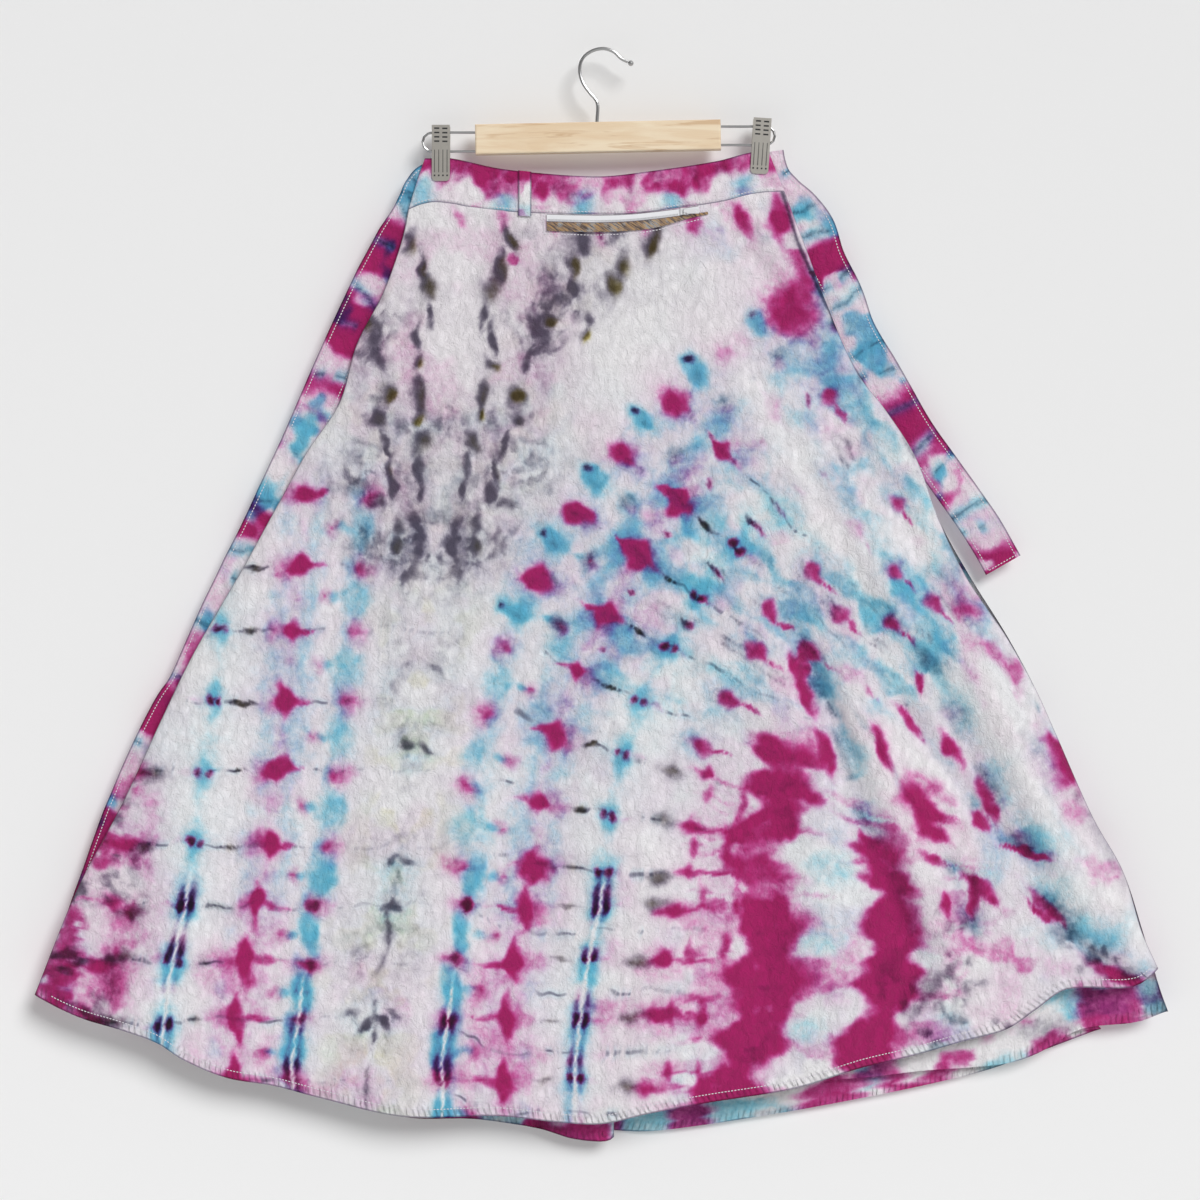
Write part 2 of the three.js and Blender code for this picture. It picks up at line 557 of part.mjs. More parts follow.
function frontPanel(material) {
  const places = (down) => {
    const share = foldReach(down) / panelWidth(frontPatch, down);
    return acrossPlaces(FRONT_GRID.across, share, true);
  };
  const rows = grid(frontPoint, places, FRONT_GRID.down);
  return wall('front_panel', rows, CLOTH, material, { start: true, end: true });
}

function innerPanel(material) {
  const places = (down) => {
    const share = foldReach(down) / panelWidth(innerPatch, down);
    return acrossPlaces(INNER_GRID.across, share, false);
  };
  const rows = grid(innerPoint, places, INNER_GRID.down);
  return wall('inner_wrap_panel', rows, CLOTH, material, { start: true, end: false });
}

function outerPanel(material) {
  const places = (down) => {
    const share = foldReach(down) / panelWidth(outerPatch, down);
    return [...FOLD_TURN.map((turn) => turn * share), ...outerShares()];
  };
  const rows = grid(outerPoint, places, OUTER_GRID.down);
  return wall('outer_wrap_panel', rows, CLOTH, material, { start: true, end: false });
}

// ---------------------------------------------------------------- ties

// A flat strip along a middle line, its edges curled back a little. Its rows run along the strip.
function tie(name, table, curl, material) {
  const path = new THREE.CatmullRomCurve3(table.map((row) => new THREE.Vector3(row.x, row.y, row.z)),
    false, 'centripetal');
  const count = (table.length - 1) * TIE_STEPS;
  const rows = [];
  for (let k = 0; k <= count; k += 1) {
    const t = k / count;
    const middle = path.getPoint(t);
    const along = path.getTangent(t);
    const row = Math.min(table.length - 2, Math.floor(k / TIE_STEPS));
    const width = mix(table[row].width, table[row + 1].width, k / TIE_STEPS - row);
    const side = new THREE.Vector3(-along.z, 0, along.x).normalize();
    rows.push(even(TIE_ROWS).map((t) => {
      const off = (t - 0.5) * width;
      const bend = curl * (4 * (t - 0.5) ** 2 - 0.5);
      return new THREE.Vector3(middle.x + side.x * off, middle.y + bend, middle.z + side.z * off);
    }));
  }
  return wall(name, rows, CLOTH, material);
}

// ---------------------------------------------------------------- belt loop, zip pocket

const LOOP = { left: -86, right: -72.7, above: 0.4, below: 4.5, gap: 1.5, steps: 8 };

// a strip over the band, made from the band's front, moved out
function beltLoop(material) {
  const rows = even(LOOP.steps).map((down) => even(2).map((across) => {
    const x = mix(LOOP.left, LOOP.right, across);
    const top = bandUpperZ(x) + LOOP.above;
    const bottom = bandLowerZ(x) - LOOP.below;
    return new THREE.Vector3(x, -LAYER - bandSag(x) - LOOP.gap, mix(top, bottom, down));
  }));
  return wall('belt_loop', rows, CLOTH, material);
}

// a strip lying on the front panel, made from the panel, moved out; downAt gives how far down its
// upper edge (0) and its lower edge (1) lie at a place across the panel
function panelStrip(name, toAcross, downAt, material) {
  const out = (CLOTH + ZIP.thickness) / 2 + SEAM;
  const rows = [0, 1].map((edge) => even(ZIP.steps).map((t) => {
    const across = mix(ZIP.shareLeft, toAcross, t);
    const down = downAt(across, edge);
    const point = frontPoint(across, down);
    const right = frontPoint(across + 0.01, down).sub(point);
    const lower = frontPoint(across, down + 0.004).sub(point);
    return point.addScaledVector(lower.cross(right).normalize(), out);
  }));
  return wall(name, rows, ZIP.thickness, material);
}

function upperTape(material) {
  const downAt = (across, edge) => (edge ? ZIP.upperBottom : ZIP.upperTop);
  return panelStrip('zip_tape_upper', ZIP.shareRight, downAt, material);
}

function lowerTape(material) {
  const downAt = (across, edge) => {
    const taper = smooth(ZIP.taperFrom, ZIP.taperTo, across);
    return edge ? mix(ZIP.lowerBottom, ZIP.lowerTop + ZIP.tipHeight, taper) : ZIP.lowerTop;
  };
  return panelStrip('zip_tape_lower', ZIP.lowerRight, downAt, material);
}

// depth of the zip tape's front face where it stands out furthest behind the slider
const panelBehindSlider = even(ZIP.steps).map((t) => (
  frontPoint(mix(SLIDER.shareFrom, SLIDER.shareTo, t), ZIP.lowerTop).y));
const zipFront = Math.min(...panelBehindSlider) - CLOTH / 2 - SEAM - ZIP.thickness;
const pinDepth = zipFront - SEAM - SLIDER.depth - SLIDER.pinRise;

const wasm = await Module();
wasm.setup();

function manifoldOf(geometry) {
  const bare = geometry.clone();
  bare.deleteAttribute('normal');
  bare.deleteAttribute('uv');
  const merged = mergeVertices(bare, 1e-4);
  return new wasm.Manifold(new wasm.Mesh({
    numProp: 3,
    vertProperties: merged.attributes.position.array,
    triVerts: new Uint32Array(merged.index.array),
  }));
}

function joined(name, geometries, cuts, material) {
  let result = manifoldOf(geometries[0]);
  for (const geometry of geometries.slice(1)) result = result.add(manifoldOf(geometry));
  for (const geometry of cuts) result = result.subtract(manifoldOf(geometry));
  const data = result.getMesh();
  return solid(name, Array.from(data.vertProperties), Array.from(data.triVerts), material);
}

// The slider: a flat body, and two ears that hold the upright pin of the pull tab.
function slider(material) {
  const body = new THREE.BoxGeometry(SLIDER.width, SLIDER.depth, SLIDER.height);
  body.translate(SLIDER.x, zipFront - SEAM - SLIDER.depth / 2, SLIDER.z);
  const pieces = [body];
  const tall = SLIDER.pinRise + SLIDER.earBeyond + SLIDER.depth / 2;
  for (const side of [-1, 1]) {
    const ear = new THREE.BoxGeometry(SLIDER.earWidth, tall, SLIDER.ear);
    const away = PULL.eyeHeight / 2 + SEAM + SLIDER.ear / 2;
    ear.translate(SLIDER.x, pinDepth - SLIDER.earBeyond + tall / 2, SLIDER.z + side * away);
    pieces.push(ear);
  }
  const pinLength = PULL.eyeHeight + 2 * (SEAM + SLIDER.pinEnds);
  const pin = new THREE.CylinderGeometry(SLIDER.pin, SLIDER.pin, pinLength, 16);
  pin.rotateX(Math.PI / 2);
  pin.translate(SLIDER.x, pinDepth, SLIDER.z);
  pieces.push(pin);
  return joined('zip_slider', pieces, [], material);
}

// The pull tab: an eye round the pin, a neck, and a plate with a round hole near its tip.
function pullTab(material) {
  const eye = new THREE.CylinderGeometry(PULL.eyeOuter, PULL.eyeOuter, PULL.eyeHeight, 20);
  eye.rotateX(Math.PI / 2);
  const neck = new THREE.BoxGeometry(PULL.neckLength, PULL.thickness, PULL.eyeHeight);
  neck.translate(PULL.neckFrom + PULL.neckLength / 2, 0, 0);
  const plateLength = PULL.length - PULL.plateFrom;
  const plate = new THREE.BoxGeometry(plateLength, PULL.thickness, PULL.width);
  plate.translate(PULL.plateFrom + plateLength / 2, 0, 0);
  const bore = new THREE.CylinderGeometry(PULL.eyeInner, PULL.eyeInner, PULL.eyeHeight + 2, 20);
  bore.rotateX(Math.PI / 2);
  const hole = new THREE.CylinderGeometry(PULL.hole, PULL.hole, PULL.thickness + 2, 16);
  hole.translate(PULL.length - PULL.holeInset, 0, 0);
  const mesh = joined('zip_pull', [eye, neck, plate], [bore, hole], material);
  mesh.position.set(SLIDER.x, pinDepth, SLIDER.z);
  return mesh;
}

// ---------------------------------------------------------------- hanger

function tube(name, points, diameter, steps, material) {
  const path = new THREE.CatmullRomCurve3(points, false, 'centripetal');
  const circle = new THREE.Shape();
  circle.absarc(0, 0, diameter / 2, 0, 2 * Math.PI);
  const geometry = new THREE.ExtrudeGeometry(circle, { steps, curveSegments: 4, extrudePath: path });
  const mesh = new THREE.Mesh(geometry, material);
  mesh.name = name;
  return mesh;
}

function hook(material) {
  const points = HOOK_PATH.map((row) => new THREE.Vector3(row.x, 0, row.z));
  return tube('hook', points, HOOK_WIRE, 44, material);
}

// the ball on the hook's end, just clear of the wire
function hookBall(material) {
  const end = HOOK_PATH.at(-1);
  const before = HOOK_PATH.at(-2);
  const way = new THREE.Vector2(end.x - before.x, end.z - before.z).normalize();
  const mesh = new THREE.Mesh(new THREE.SphereGeometry(HOOK_BALL, 14, 10), material);
  mesh.name = 'hook_ball';
  const reach = HOOK_BALL + SEAM;
  mesh.position.set(end.x + way.x * reach, 0, end.z + way.y * reach);
  return mesh;
}

function bar(material) {
  const halfWidth = BAR.width / 2 - BAR.edge;
  const halfHeight = BAR.height / 2 - BAR.edge;
  const shape = new THREE.Shape();
  shape.moveTo(-halfWidth, -halfHeight);
  shape.lineTo(halfWidth, -halfHeight);
  shape.lineTo(halfWidth, halfHeight);
  shape.lineTo(-halfWidth, halfHeight);
  const geometry = new THREE.ExtrudeGeometry(shape, {
    depth: BAR.thickness - 2 * BAR.edge,
    bevelThickness: BAR.edge,
    bevelSize: BAR.edge,
    bevelSegments: 2,
  });
  geometry.translate(0, 0, -(BAR.thickness - 2 * BAR.edge) / 2);
  geometry.rotateX(Math.PI / 2);
  geometry.rotateY(-THREE.MathUtils.degToRad(BAR.tiltDeg));
  geometry.translate(BAR.x, 0, BAR.z);
  const mesh = new THREE.Mesh(geometry, material);
  mesh.name = 'hanger_bar';
  return mesh;
}

// a wire loop that leaves the bar's end face and comes back to it
function rail(name, endX, upperZ, lowerZ, tipX, material) {
  const radius = (upperZ - lowerZ) / 2;
  const way = Math.sign(tipX - endX);
  const start = endX + way * SEAM;
  const middle = (upperZ + lowerZ) / 2;
  const bendX = tipX - way * radius;
  const points = [];
  for (const t of [0, 0.5]) points.push(new THREE.Vector3(mix(start, bendX, t), 0, upperZ));
  for (let k = 0; k <= 6; k += 1) {
    const angle = Math.PI / 2 - (k * Math.PI) / 6;
    points.push(new THREE.Vector3(bendX + way * radius * Math.cos(angle), 0,
      middle + radius * Math.sin(angle)));
  }
  for (const t of [0.5, 0]) points.push(new THREE.Vector3(mix(start, bendX, t), 0, lowerZ));
  return tube(name, points, RAIL_WIRE, 22, material);
}

// the outline of a jaw plate: straight sides and a rounded foot
function plateOutline() {
  const half = CLIP.width / 2;
  const points = [new THREE.Vector2(half, 0), new THREE.Vector2(-half, 0)];
  for (const side of [-1, 1]) {
    for (let k = 0; k <= 4; k += 1) {
      const angle = ((side < 0 ? k : 4 - k) * Math.PI) / 8;
      points.push(new THREE.Vector2(side * (half - CLIP.corner + CLIP.corner * Math.cos(angle)),
        -CLIP.height + CLIP.corner - CLIP.corner * Math.sin(angle)));
    }
  }
  return points;
}

function plateSlot(side, row) {
  const x = (side * CLIP.width * SLOT.place) / 2;
  const z = -SLOT.first - SLOT.pitch * row - (side > 0 ? SLOT.stagger : 0);
  return new THREE.Path([
    new THREE.Vector2(x - SLOT.halfWidth, z - SLOT.halfHeight),
    new THREE.Vector2(x + SLOT.halfWidth, z - SLOT.halfHeight),
    new THREE.Vector2(x + SLOT.halfWidth, z + SLOT.halfHeight),
    new THREE.Vector2(x - SLOT.halfWidth, z + SLOT.halfHeight),
  ]);
}

// One jaw plate of a clip. It leans in from its top to its foot, which grips the cloth; topY and
// footY are the depths there of the face towards the cloth.
function clipPlate(name, place, front, material) {
  const shape = new THREE.Shape(plateOutline());
  if (front) {
    for (const side of [-1, 1]) {
      for (let row = 0; row < SLOT.rows; row += 1) shape.holes.push(plateSlot(side, row));
    }
  }
  const geometry = new THREE.ExtrudeGeometry(shape, { depth: CLIP.plate, bevelEnabled: false });
  // the plate's height runs down -Z and its thickness from Y = -plate to Y = 0
  geometry.rotateX(Math.PI / 2);
  const topY = front ? CLIP.frontTop : CLIP.backTop;
  const footY = front ? -LAYER - CLOTH / 2 - SEAM : CLIP.backFoot;
  const mesh = new THREE.Mesh(geometry, material);
  mesh.name = name;
  const lean = -THREE.MathUtils.degToRad(place.lean);
  mesh.rotation.set(Math.atan2(footY - topY, CLIP.height), lean, 0, 'YXZ');
  mesh.position.set(place.x, front ? topY : topY + CLIP.plate, place.z);
  return mesh;
}

// the spring's coil between the two plates
function clipSpring(name, place, material) {
  const inner = SPRING.radius - SPRING.wire;
  const profile = [
    new THREE.Vector2(inner, -SPRING.half), new THREE.Vector2(SPRING.radius, -SPRING.half),
    new THREE.Vector2(SPRING.radius, SPRING.half), new THREE.Vector2(inner, SPRING.half),
    new THREE.Vector2(inner, -SPRING.half),
  ];
  const geometry = new THREE.LatheGeometry(profile, 16);
  geometry.rotateZ(-Math.PI / 2);
  const mesh = new THREE.Mesh(geometry, material);
  mesh.name = name;
  const angle = THREE.MathUtils.degToRad(place.lean);
  mesh.position.set(place.x + SPRING.drop * Math.sin(angle), SPRING.y,
    place.z - SPRING.drop * Math.cos(angle));
  return mesh;
}

// ---------------------------------------------------------------- materials

const dyedCotton = (color) => new THREE.MeshStandardMaterial({ color, roughness: 0.9, metalness: 0 });
const cottonFront = dyedCotton('#d9cbdb');
const cottonInner = dyedCotton('#b8407f');
const cottonOuter = dyedCotton('#c9b6cc');
const cottonBand = dyedCotton('#c97fae');
const cottonLoop = dyedCotton('#c48db8');
const cottonTies = dyedCotton('#c76a9f');
const pocketCloth = dyedCotton('#8d7664');
const zipTape = new THREE.MeshStandardMaterial({ color: '#e9eaee', roughness: 0.8, metalness: 0 });
const zipMetal = new THREE.MeshStandardMaterial({ color: '#e2e4e8', roughness: 0.4, metalness: 0.2 });
const steelWire = new THREE.MeshStandardMaterial({ color: '#b9bbbc', roughness: 0.3, metalness: 1 });
const nickel = new THREE.MeshStandardMaterial({ color: '#c9c6bd', roughness: 0.35, metalness: 1 });
const pine = new THREE.MeshStandardMaterial({ color: '#ecd0a8', roughness: 0.55, metalness: 0 });

// ---------------------------------------------------------------- assembly

const skirt = new THREE.Group();
skirt.add(waistband(cottonBand));
skirt.add(frontPanel(cottonFront));
skirt.add(innerPanel(cottonInner));
skirt.add(outerPanel(cottonOuter));
skirt.add(tie('left_tie', LEFT_TIE, 0.8, cottonTies));
skirt.add(tie('right_tie', RIGHT_TIE, 0.5, cottonTies));
skirt.add(beltLoop(cottonLoop));
skirt.add(upperTape(zipTape));
skirt.add(lowerTape(pocketCloth));

skirt.add(slider(zipMetal));
skirt.add(pullTab(zipMetal));

const hanger = new THREE.Group();
hanger.add(hook(steelWire));
hanger.add(hookBall(steelWire));
hanger.add(bar(pine));
hanger.add(rail('rail_left', BAR.x - BAR.width / 2, -82.5, -101.5, -182, steelWire));
hanger.add(rail('rail_right', BAR.x + BAR.width / 2, -76.5, -95, 171.5, steelWire));
const clips = [
  { side: 'left', x: -163.5, z: -75.5, lean: 0 },
  { side: 'right', x: 159, z: -68.5, lean: -3.6 },
];
for (const clip of clips) {
  hanger.add(clipPlate(`clip_${clip.side}_front`, clip, true, nickel));
  hanger.add(clipPlate(`clip_${clip.side}_back`, clip, false, nickel));
  hanger.add(clipSpring(`clip_${clip.side}_spring`, clip, steelWire));
}

const group = new THREE.Group();
group.add(skirt);
group.add(hanger);
export default group;
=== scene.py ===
"""A tie-dyed cotton wrap skirt on a clip hanger, hung flat against a pale wall."""
import math

import bpy
import numpy as np
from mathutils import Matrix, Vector
from mathutils.kdtree import KDTree


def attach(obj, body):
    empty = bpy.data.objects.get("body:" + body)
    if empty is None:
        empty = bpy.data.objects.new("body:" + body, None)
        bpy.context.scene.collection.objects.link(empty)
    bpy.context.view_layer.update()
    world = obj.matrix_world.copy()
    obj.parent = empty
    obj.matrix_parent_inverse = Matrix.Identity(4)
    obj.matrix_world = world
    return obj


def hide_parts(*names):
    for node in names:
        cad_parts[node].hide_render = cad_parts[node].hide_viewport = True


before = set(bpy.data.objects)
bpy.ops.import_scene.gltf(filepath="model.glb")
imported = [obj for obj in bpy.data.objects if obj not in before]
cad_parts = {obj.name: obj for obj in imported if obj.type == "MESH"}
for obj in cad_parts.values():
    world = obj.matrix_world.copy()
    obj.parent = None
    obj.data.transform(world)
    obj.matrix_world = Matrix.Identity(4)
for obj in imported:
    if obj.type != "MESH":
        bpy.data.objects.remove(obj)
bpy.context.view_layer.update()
SCENE = bpy.context.scene

# ------------------------------------------------------------------ sizes, in mm, as in the CAD
LAYER = 1.7
PANEL_DEPTH = 13
HEM_FOLD = 30
WAIST_FOLD = 3
SEAM = 0.3
BAND_INNER_END = 10
BAND_OUTER_END = -165
BAND_HIGH = 43
LOOP_LEFT, LOOP_RIGHT = -86, -72.7
DYE_E, DYE_S = 604, 48.5   # the origin's place on the dyed cloth
MM = 0.001

LEFT_FOLD = [
    (-196, -159.5), (-202, -188.5), (-221, -242.5), (-248, -295.5), (-265, -353.5), (-298, -403.5),
    (-325, -452.5), (-359, -514.5), (-413, -608.5), (-443, -670.5), (-482, -754.5), (-528, -842.5),
    (-570, -946.5),
]
RIGHT_FOLD = [
    (181, -141.5), (203, -199.5), (221, -248.5), (254, -323.5), (282, -360.5), (312, -407.5),
    (336, -471.5), (362, -526.5), (404, -589.5), (432, -639.5), (451, -681.5), (490, -769.5),
    (520, -823.5), (539, -884.5), (555, -920.5),
]
RIGHT_FOLD_OUTER = RIGHT_FOLD[:7] + [
    (366, -526.5), (404, -587.5), (432, -639.5), (451, -681.5), (490, -769.5), (520, -823.5),
    (540, -884.5), (558, -944.5), (565, -963.5),
]
FRONT_HEM = [
    (-570, -946.5), (-523, -968.5), (-479, -981.5), (-446, -993.5), (-420, -1010.5),
    (-377, -1028.5), (-330, -1036.5), (-284, -1048.5), (-202, -1066.5), (-106, -1066.5),
    (-49, -1072.5), (-4, -1074.5), (45, -1063.5), (96, -1054.5), (193, -1038.5), (256, -1018.5),
    (304, -1007.5), (357, -992.5), (403, -979.5), (431, -960.5), (458, -941.5), (479, -938.5),
    (530, -937.5), (555, -920.5),
]
INNER_HEM = [
    (-570, -945.5), (-479, -977), (-420, -1004), (-330, -1031), (-225, -1060.5), (-198, -1070.5),
    (-133, -1072.5), (-95, -1077.5), (-61, -1083.5), (-31, -1092.5), (4, -1094.5), (10, -1090.5),
]
OUTER_HEM = [
    (565, -963.5), (488, -988.5), (437, -1007.5), (361, -1033.5), (309, -1046.5), (238, -1060.5),
    (207, -1071.5), (136, -1075.5), (90, -1085.5), (11, -1087), (-60, -1077), (-225, -1055),
    (-330, -1029), (-446, -987), (-490, -960),
]
OUTER_END = [
    (-165, -151.5), (-190, -250), (-225, -350), (-290, -500), (-370, -680), (-440, -830),
    (-490, -960),
]
# share across, x, z, layer (0 next to the front, 1 next to the wall)
DEEP_FOLD = [
    (0.000, 565, -963.5, 0.0), (0.024, 536, -975.5, 0.0), (0.060, 477, -983.5, 0.0),
    (0.078, 437, -1006.5, 0.0), (0.096, 403, -1017.5, 0.0), (0.140, 319, -1024.5, 0.0),
    (0.172, 258, -1031.5, 0.0), (0.205, 183, -1035.5, 0.04), (0.220, 173, -1035.5, 0.25),
    (0.235, 183, -1034.5, 0.46), (0.290, 337, -1006.5, 0.5), (0.345, 492, -983.5, 0.54),
    (0.360, 501, -983.5, 0.75), (0.375, 490, -987.5, 0.96), (0.400, 437, -1007.5, 1.0),
    (0.440, 361, -1033.5, 1.0), (0.500, 238, -1060.5, 1.0),
]
BAND_LOWER = [
    (-196, -159.2), (-185, -154.7), (-170, -151.7), (-150, -153.7), (-134, -157), (-86, -162.2),
    (-10, -165.2), (36, -163.2), (113, -152.2), (156, -142.6), (181, -141.2),
]
BAND_UPPER = [
    (-180, -108.5), (-154, -108.5), (-104, -119.1), (-44, -125.8), (-4, -127.6), (36, -123.5),
    (113, -111.5), (148, -102.5), (166, -102.5),
]
# ridges (rise > 0) and troughs (rise < 0): x0, z0, x1, z1, half width, rise
FRONT_FOLDS = [
    (186, -571, 301, -871, 17, -6), (236, -610, 340, -890, 26, 8),
    (318, -610, 424, -805, 19, -6.5), (366, -600, 470, -830, 26, 8),
    (433, -849, 531, -930, 18, -5), (470, -800, 538, -890, 22, 5),
    (96, -251, 256, -511, 42, 4), (341, -812, 368, -882, 16, -4),
    (205, -800, 250, -1000, 30, 4), (-404, -750, -454, -980, 46, 4),
    (-174, -650, -184, -1060, 60, 5), (16, -650, 36, -1060, 55, 5),
]
INNER_FOLDS = [(-290, -560, -330, -1000, 45, -4), (-90, -520, -100, -1080, 50, -4)]
OUTER_FOLDS = [
    (-250, -520, -330, -1010, 46, 6), (-100, -420, -150, -1070, 40, 7),
    (0, -480, 10, -1080, 44, 7), (110, -450, 150, -1060, 36, 6),
]
# the main creases of the cloth: x0, z0, x1, z1, half width, rise
FRONT_CREASES = [
    (251, -656, 305, -747, 3.0, 1.6), (257, -668, 311, -760, 3.5, -1.5),
    (341, -812, 368, -833, 5, -2.2), (368, -833, 368, -882, 5, -2.4),
    (429, -656, 461, -704, 5, -2.6), (461, -704, 494, -769, 6, -2.8),
    (296, -651, 365, -751, 9, -2.2), (365, -751, 402, -792, 9, -2.6),
    (402, -792, 436, -808, 8, -1.6), (433, -849, 488, -914, 8, -2.2),
    (488, -914, 531, -932, 6, -1.6), (196, -590, 246, -700, 8, -1.6),
    (150, -560, 210, -770, 26, 1.8), (268, -500, 330, -640, 20, 2.0),
    (300, -470, 392, -640, 12, -1.8), (352, -560, 420, -690, 14, 1.8),
    (210, -330, 300, -470, 16, -1.6), (140, -300, 262, -540, 9, -0.9),
    (-150, -300, -190, -420, 18, -0.9), (-120, -430, -60, -520, 12, -0.7),
    (-60, -420, 10, -500, 10, 0.7), (30, -380, 90, -470, 14, -0.8),
    (-250, -500, -290, -700, 26, -1.1), (-330, -640, -390, -860, 30, -1.2),
    (-470, -850, -500, -950, 18, -1.2), (-60, -700, -80, -900, 32, -1.0),
    (90, -640, 96, -860, 30, -1.1), (150, -820, 176, -990, 20, -1.3),
    (-10, -180, -30, -240, 14, -0.8), (60, -178, 80, -230, 12, -0.8),
    (-120, -178, -140, -250, 14, -0.7), (120, -170, 170, -240, 12, -1.2),
    (150, -160, 200, -260, 8, 0.9), (-185, -175, -190, -260, 10, -1.0),
]
LEFT_TIE = [
    (-166.2, -130, 1.7, 38), (-177, -130, 1.9, 34), (-187, -137, 2.5, 27), (-193, -148, 3.2, 25),
    (-199, -164, 3.6, 29), (-210, -187, 3.7, 36), (-230, -228, 3.8, 40), (-265, -303.5, 4.2, 40),
    (-305, -395.5, 4.4, 40), (-341, -472.5, 4.5, 40), (-382, -556.5, 4.6, 40),
    (-420, -640, 4.8, 40), (-434, -661.5, 4.8, 40), (-475, -747.5, 5.0, 40),
    (-510, -842.5, 5.2, 40), (-526, -888, 5.2, 40),
]
RIGHT_TIE = [
    (161, -102, 3.4, 39), (163, -115, 3.4, 40), (169, -130, 3.5, 40), (183, -144.5, 3.9, 38),
    (198, -158, 4.4, 39), (212, -178, 4.8, 41), (222, -208.5, 5.2, 41), (241, -246.5, 5.5, 40),
    (253, -280.5, 5.7, 40), (277, -321.5, 5.8, 40), (312, -382.5, 6.0, 40), (341, -423.5, 6.2, 40),
    (379, -477.5, 6.6, 40), (401.5, -516.5, 7.0, 40),
]


# ------------------------------------------------------------------ helpers
def ease(a, b, v):
    t = np.clip((np.asarray(v, float) - a) / (b - a), 0, 1)
    return t * t * (3 - 2 * t)


def mix(a, b, t):
    return a + (b - a) * t


def bell(v, half):
    return np.exp(-(v / half) ** 2)


def curve(rows, steps=24):
    """The same centripetal curve as the CAD's, as dense points through the rows."""
    p = np.array(rows, float)
    p = np.vstack([2 * p[0] - p[1], p, 2 * p[-1] - p[-2]])
    out = []
    for i in range(len(p) - 3):
        q = p[i:i + 4]
        d = [max(1e-4, math.sqrt(np.linalg.norm(q[k + 1] - q[k]))) for k in range(3)]
        t1 = ((q[1] - q[0]) / d[0] - (q[2] - q[0]) / (d[0] + d[1]) + (q[2] - q[1]) / d[1]) * d[1]
        t2 = ((q[2] - q[1]) / d[1] - (q[3] - q[1]) / (d[1] + d[2]) + (q[3] - q[2]) / d[2]) * d[1]
        t = (np.arange(steps) / steps)[:, None]
        c2 = -3 * q[1] + 3 * q[2] - 2 * t1 - t2
        c3 = 2 * q[1] - 2 * q[2] + t1 + t2
        out.append(q[1] + t1 * t + c2 * t ** 2 + c3 * t ** 3)
    return np.vstack(out + [p[-2][None]])


def lengths(points):
    """How far along the run each of its points lies."""
    return np.concatenate([[0], np.cumsum(np.linalg.norm(np.diff(points, axis=0), axis=1))])


def outline(rows):
    p = curve(rows)
    s = lengths(p)
    s /= s[-1]
    return lambda t: (np.interp(t, s, p[:, 0]), np.interp(t, s, p[:, 1]))


def column(by, key):
    """A limited cubic through the rows of a table, as in the CAD."""
    by, key = np.array(by, float), np.array(key, float)

    def at(v):
        v = np.asarray(v, float)
        i = np.clip(np.searchsorted(by, v, "left") - 1, 0, len(by) - 2)
        lo, hi = np.maximum(i - 1, 0), np.minimum(i + 2, len(by) - 1)
        span = by[i + 1] - by[i]
        t = np.clip((v - by[i]) / span, 0, 1)
        chord = (key[i + 1] - key[i]) / span
        flat = lambda s: np.where(chord * s <= 0, 0, np.sign(chord) * np.minimum(abs(s), 3 * abs(chord)))
        a = flat((key[i + 1] - key[lo]) / (by[i + 1] - by[lo]))
        b = flat((key[hi] - key[i]) / (by[hi] - by[i]))
        return ((2 * t ** 3 - 3 * t ** 2 + 1) * key[i] + (t ** 3 - 2 * t ** 2 + t) * span * a
                + (3 * t ** 2 - 2 * t ** 3) * key[i + 1] + (t ** 3 - t ** 2) * span * b)
    return at


def patch(top, bottom, left, right):
    ends = [top(0), top(1), bottom(0), bottom(1)]

    def at(u, v):
        t, b, l, r = top(u), bottom(u), left(v), right(v)
        return [mix(t[k], b[k], v) + mix(l[k], r[k], u)
                - mix(mix(ends[0][k], ends[1][k], u), mix(ends[2][k], ends[3][k], u), v)
                for k in (0, 1)]
    return at


def fold_rise(folds, x, z):
    rise = np.zeros_like(x)
    for x0, z0, x1, z1, half, high in folds:
        dx, dz = x1 - x0, z1 - z0
        length = math.hypot(dx, dz)
        along = ((x - x0) * dx + (z - z0) * dz) / length ** 2
        off = ((x - x0) * dz - (z - z0) * dx) / length
        ends = ease(-0.25, 0.25, along) * (1 - ease(0.95, 1.3, along))
        rise += high * ends * bell(off, half)
    return rise


def lattice(ix, iz, seed):
    h = (ix * 374761393 + iz * 668265263 + seed * 1274126177) & 0xFFFFFFFF
    h = ((h ^ (h >> 13)) * 1274126177) & 0xFFFFFFFF
    return ((h ^ (h >> 16)) & 0xFFFF) / 65535.0


def noise(x, z, pitch, seed=0):
    """Smooth value noise from 0 to 1."""
    x, z = np.asarray(x, float) / pitch, np.asarray(z, float) / pitch
    ix, iz = np.floor(x).astype(np.int64), np.floor(z).astype(np.int64)
    fx, fz = x - ix, z - iz
    fx, fz = fx * fx * (3 - 2 * fx), fz * fz * (3 - 2 * fz)
    return mix(mix(lattice(ix, iz, seed), lattice(ix + 1, iz, seed), fx),
               mix(lattice(ix, iz + 1, seed), lattice(ix + 1, iz + 1, seed), fx), fz)


def cloud(x, z, pitch, seed=0):
    return (noise(x, z, pitch, seed) * 4 + noise(x, z, pitch / 2, seed + 1) * 2
            + noise(x, z, pitch / 4, seed + 2)) / 7


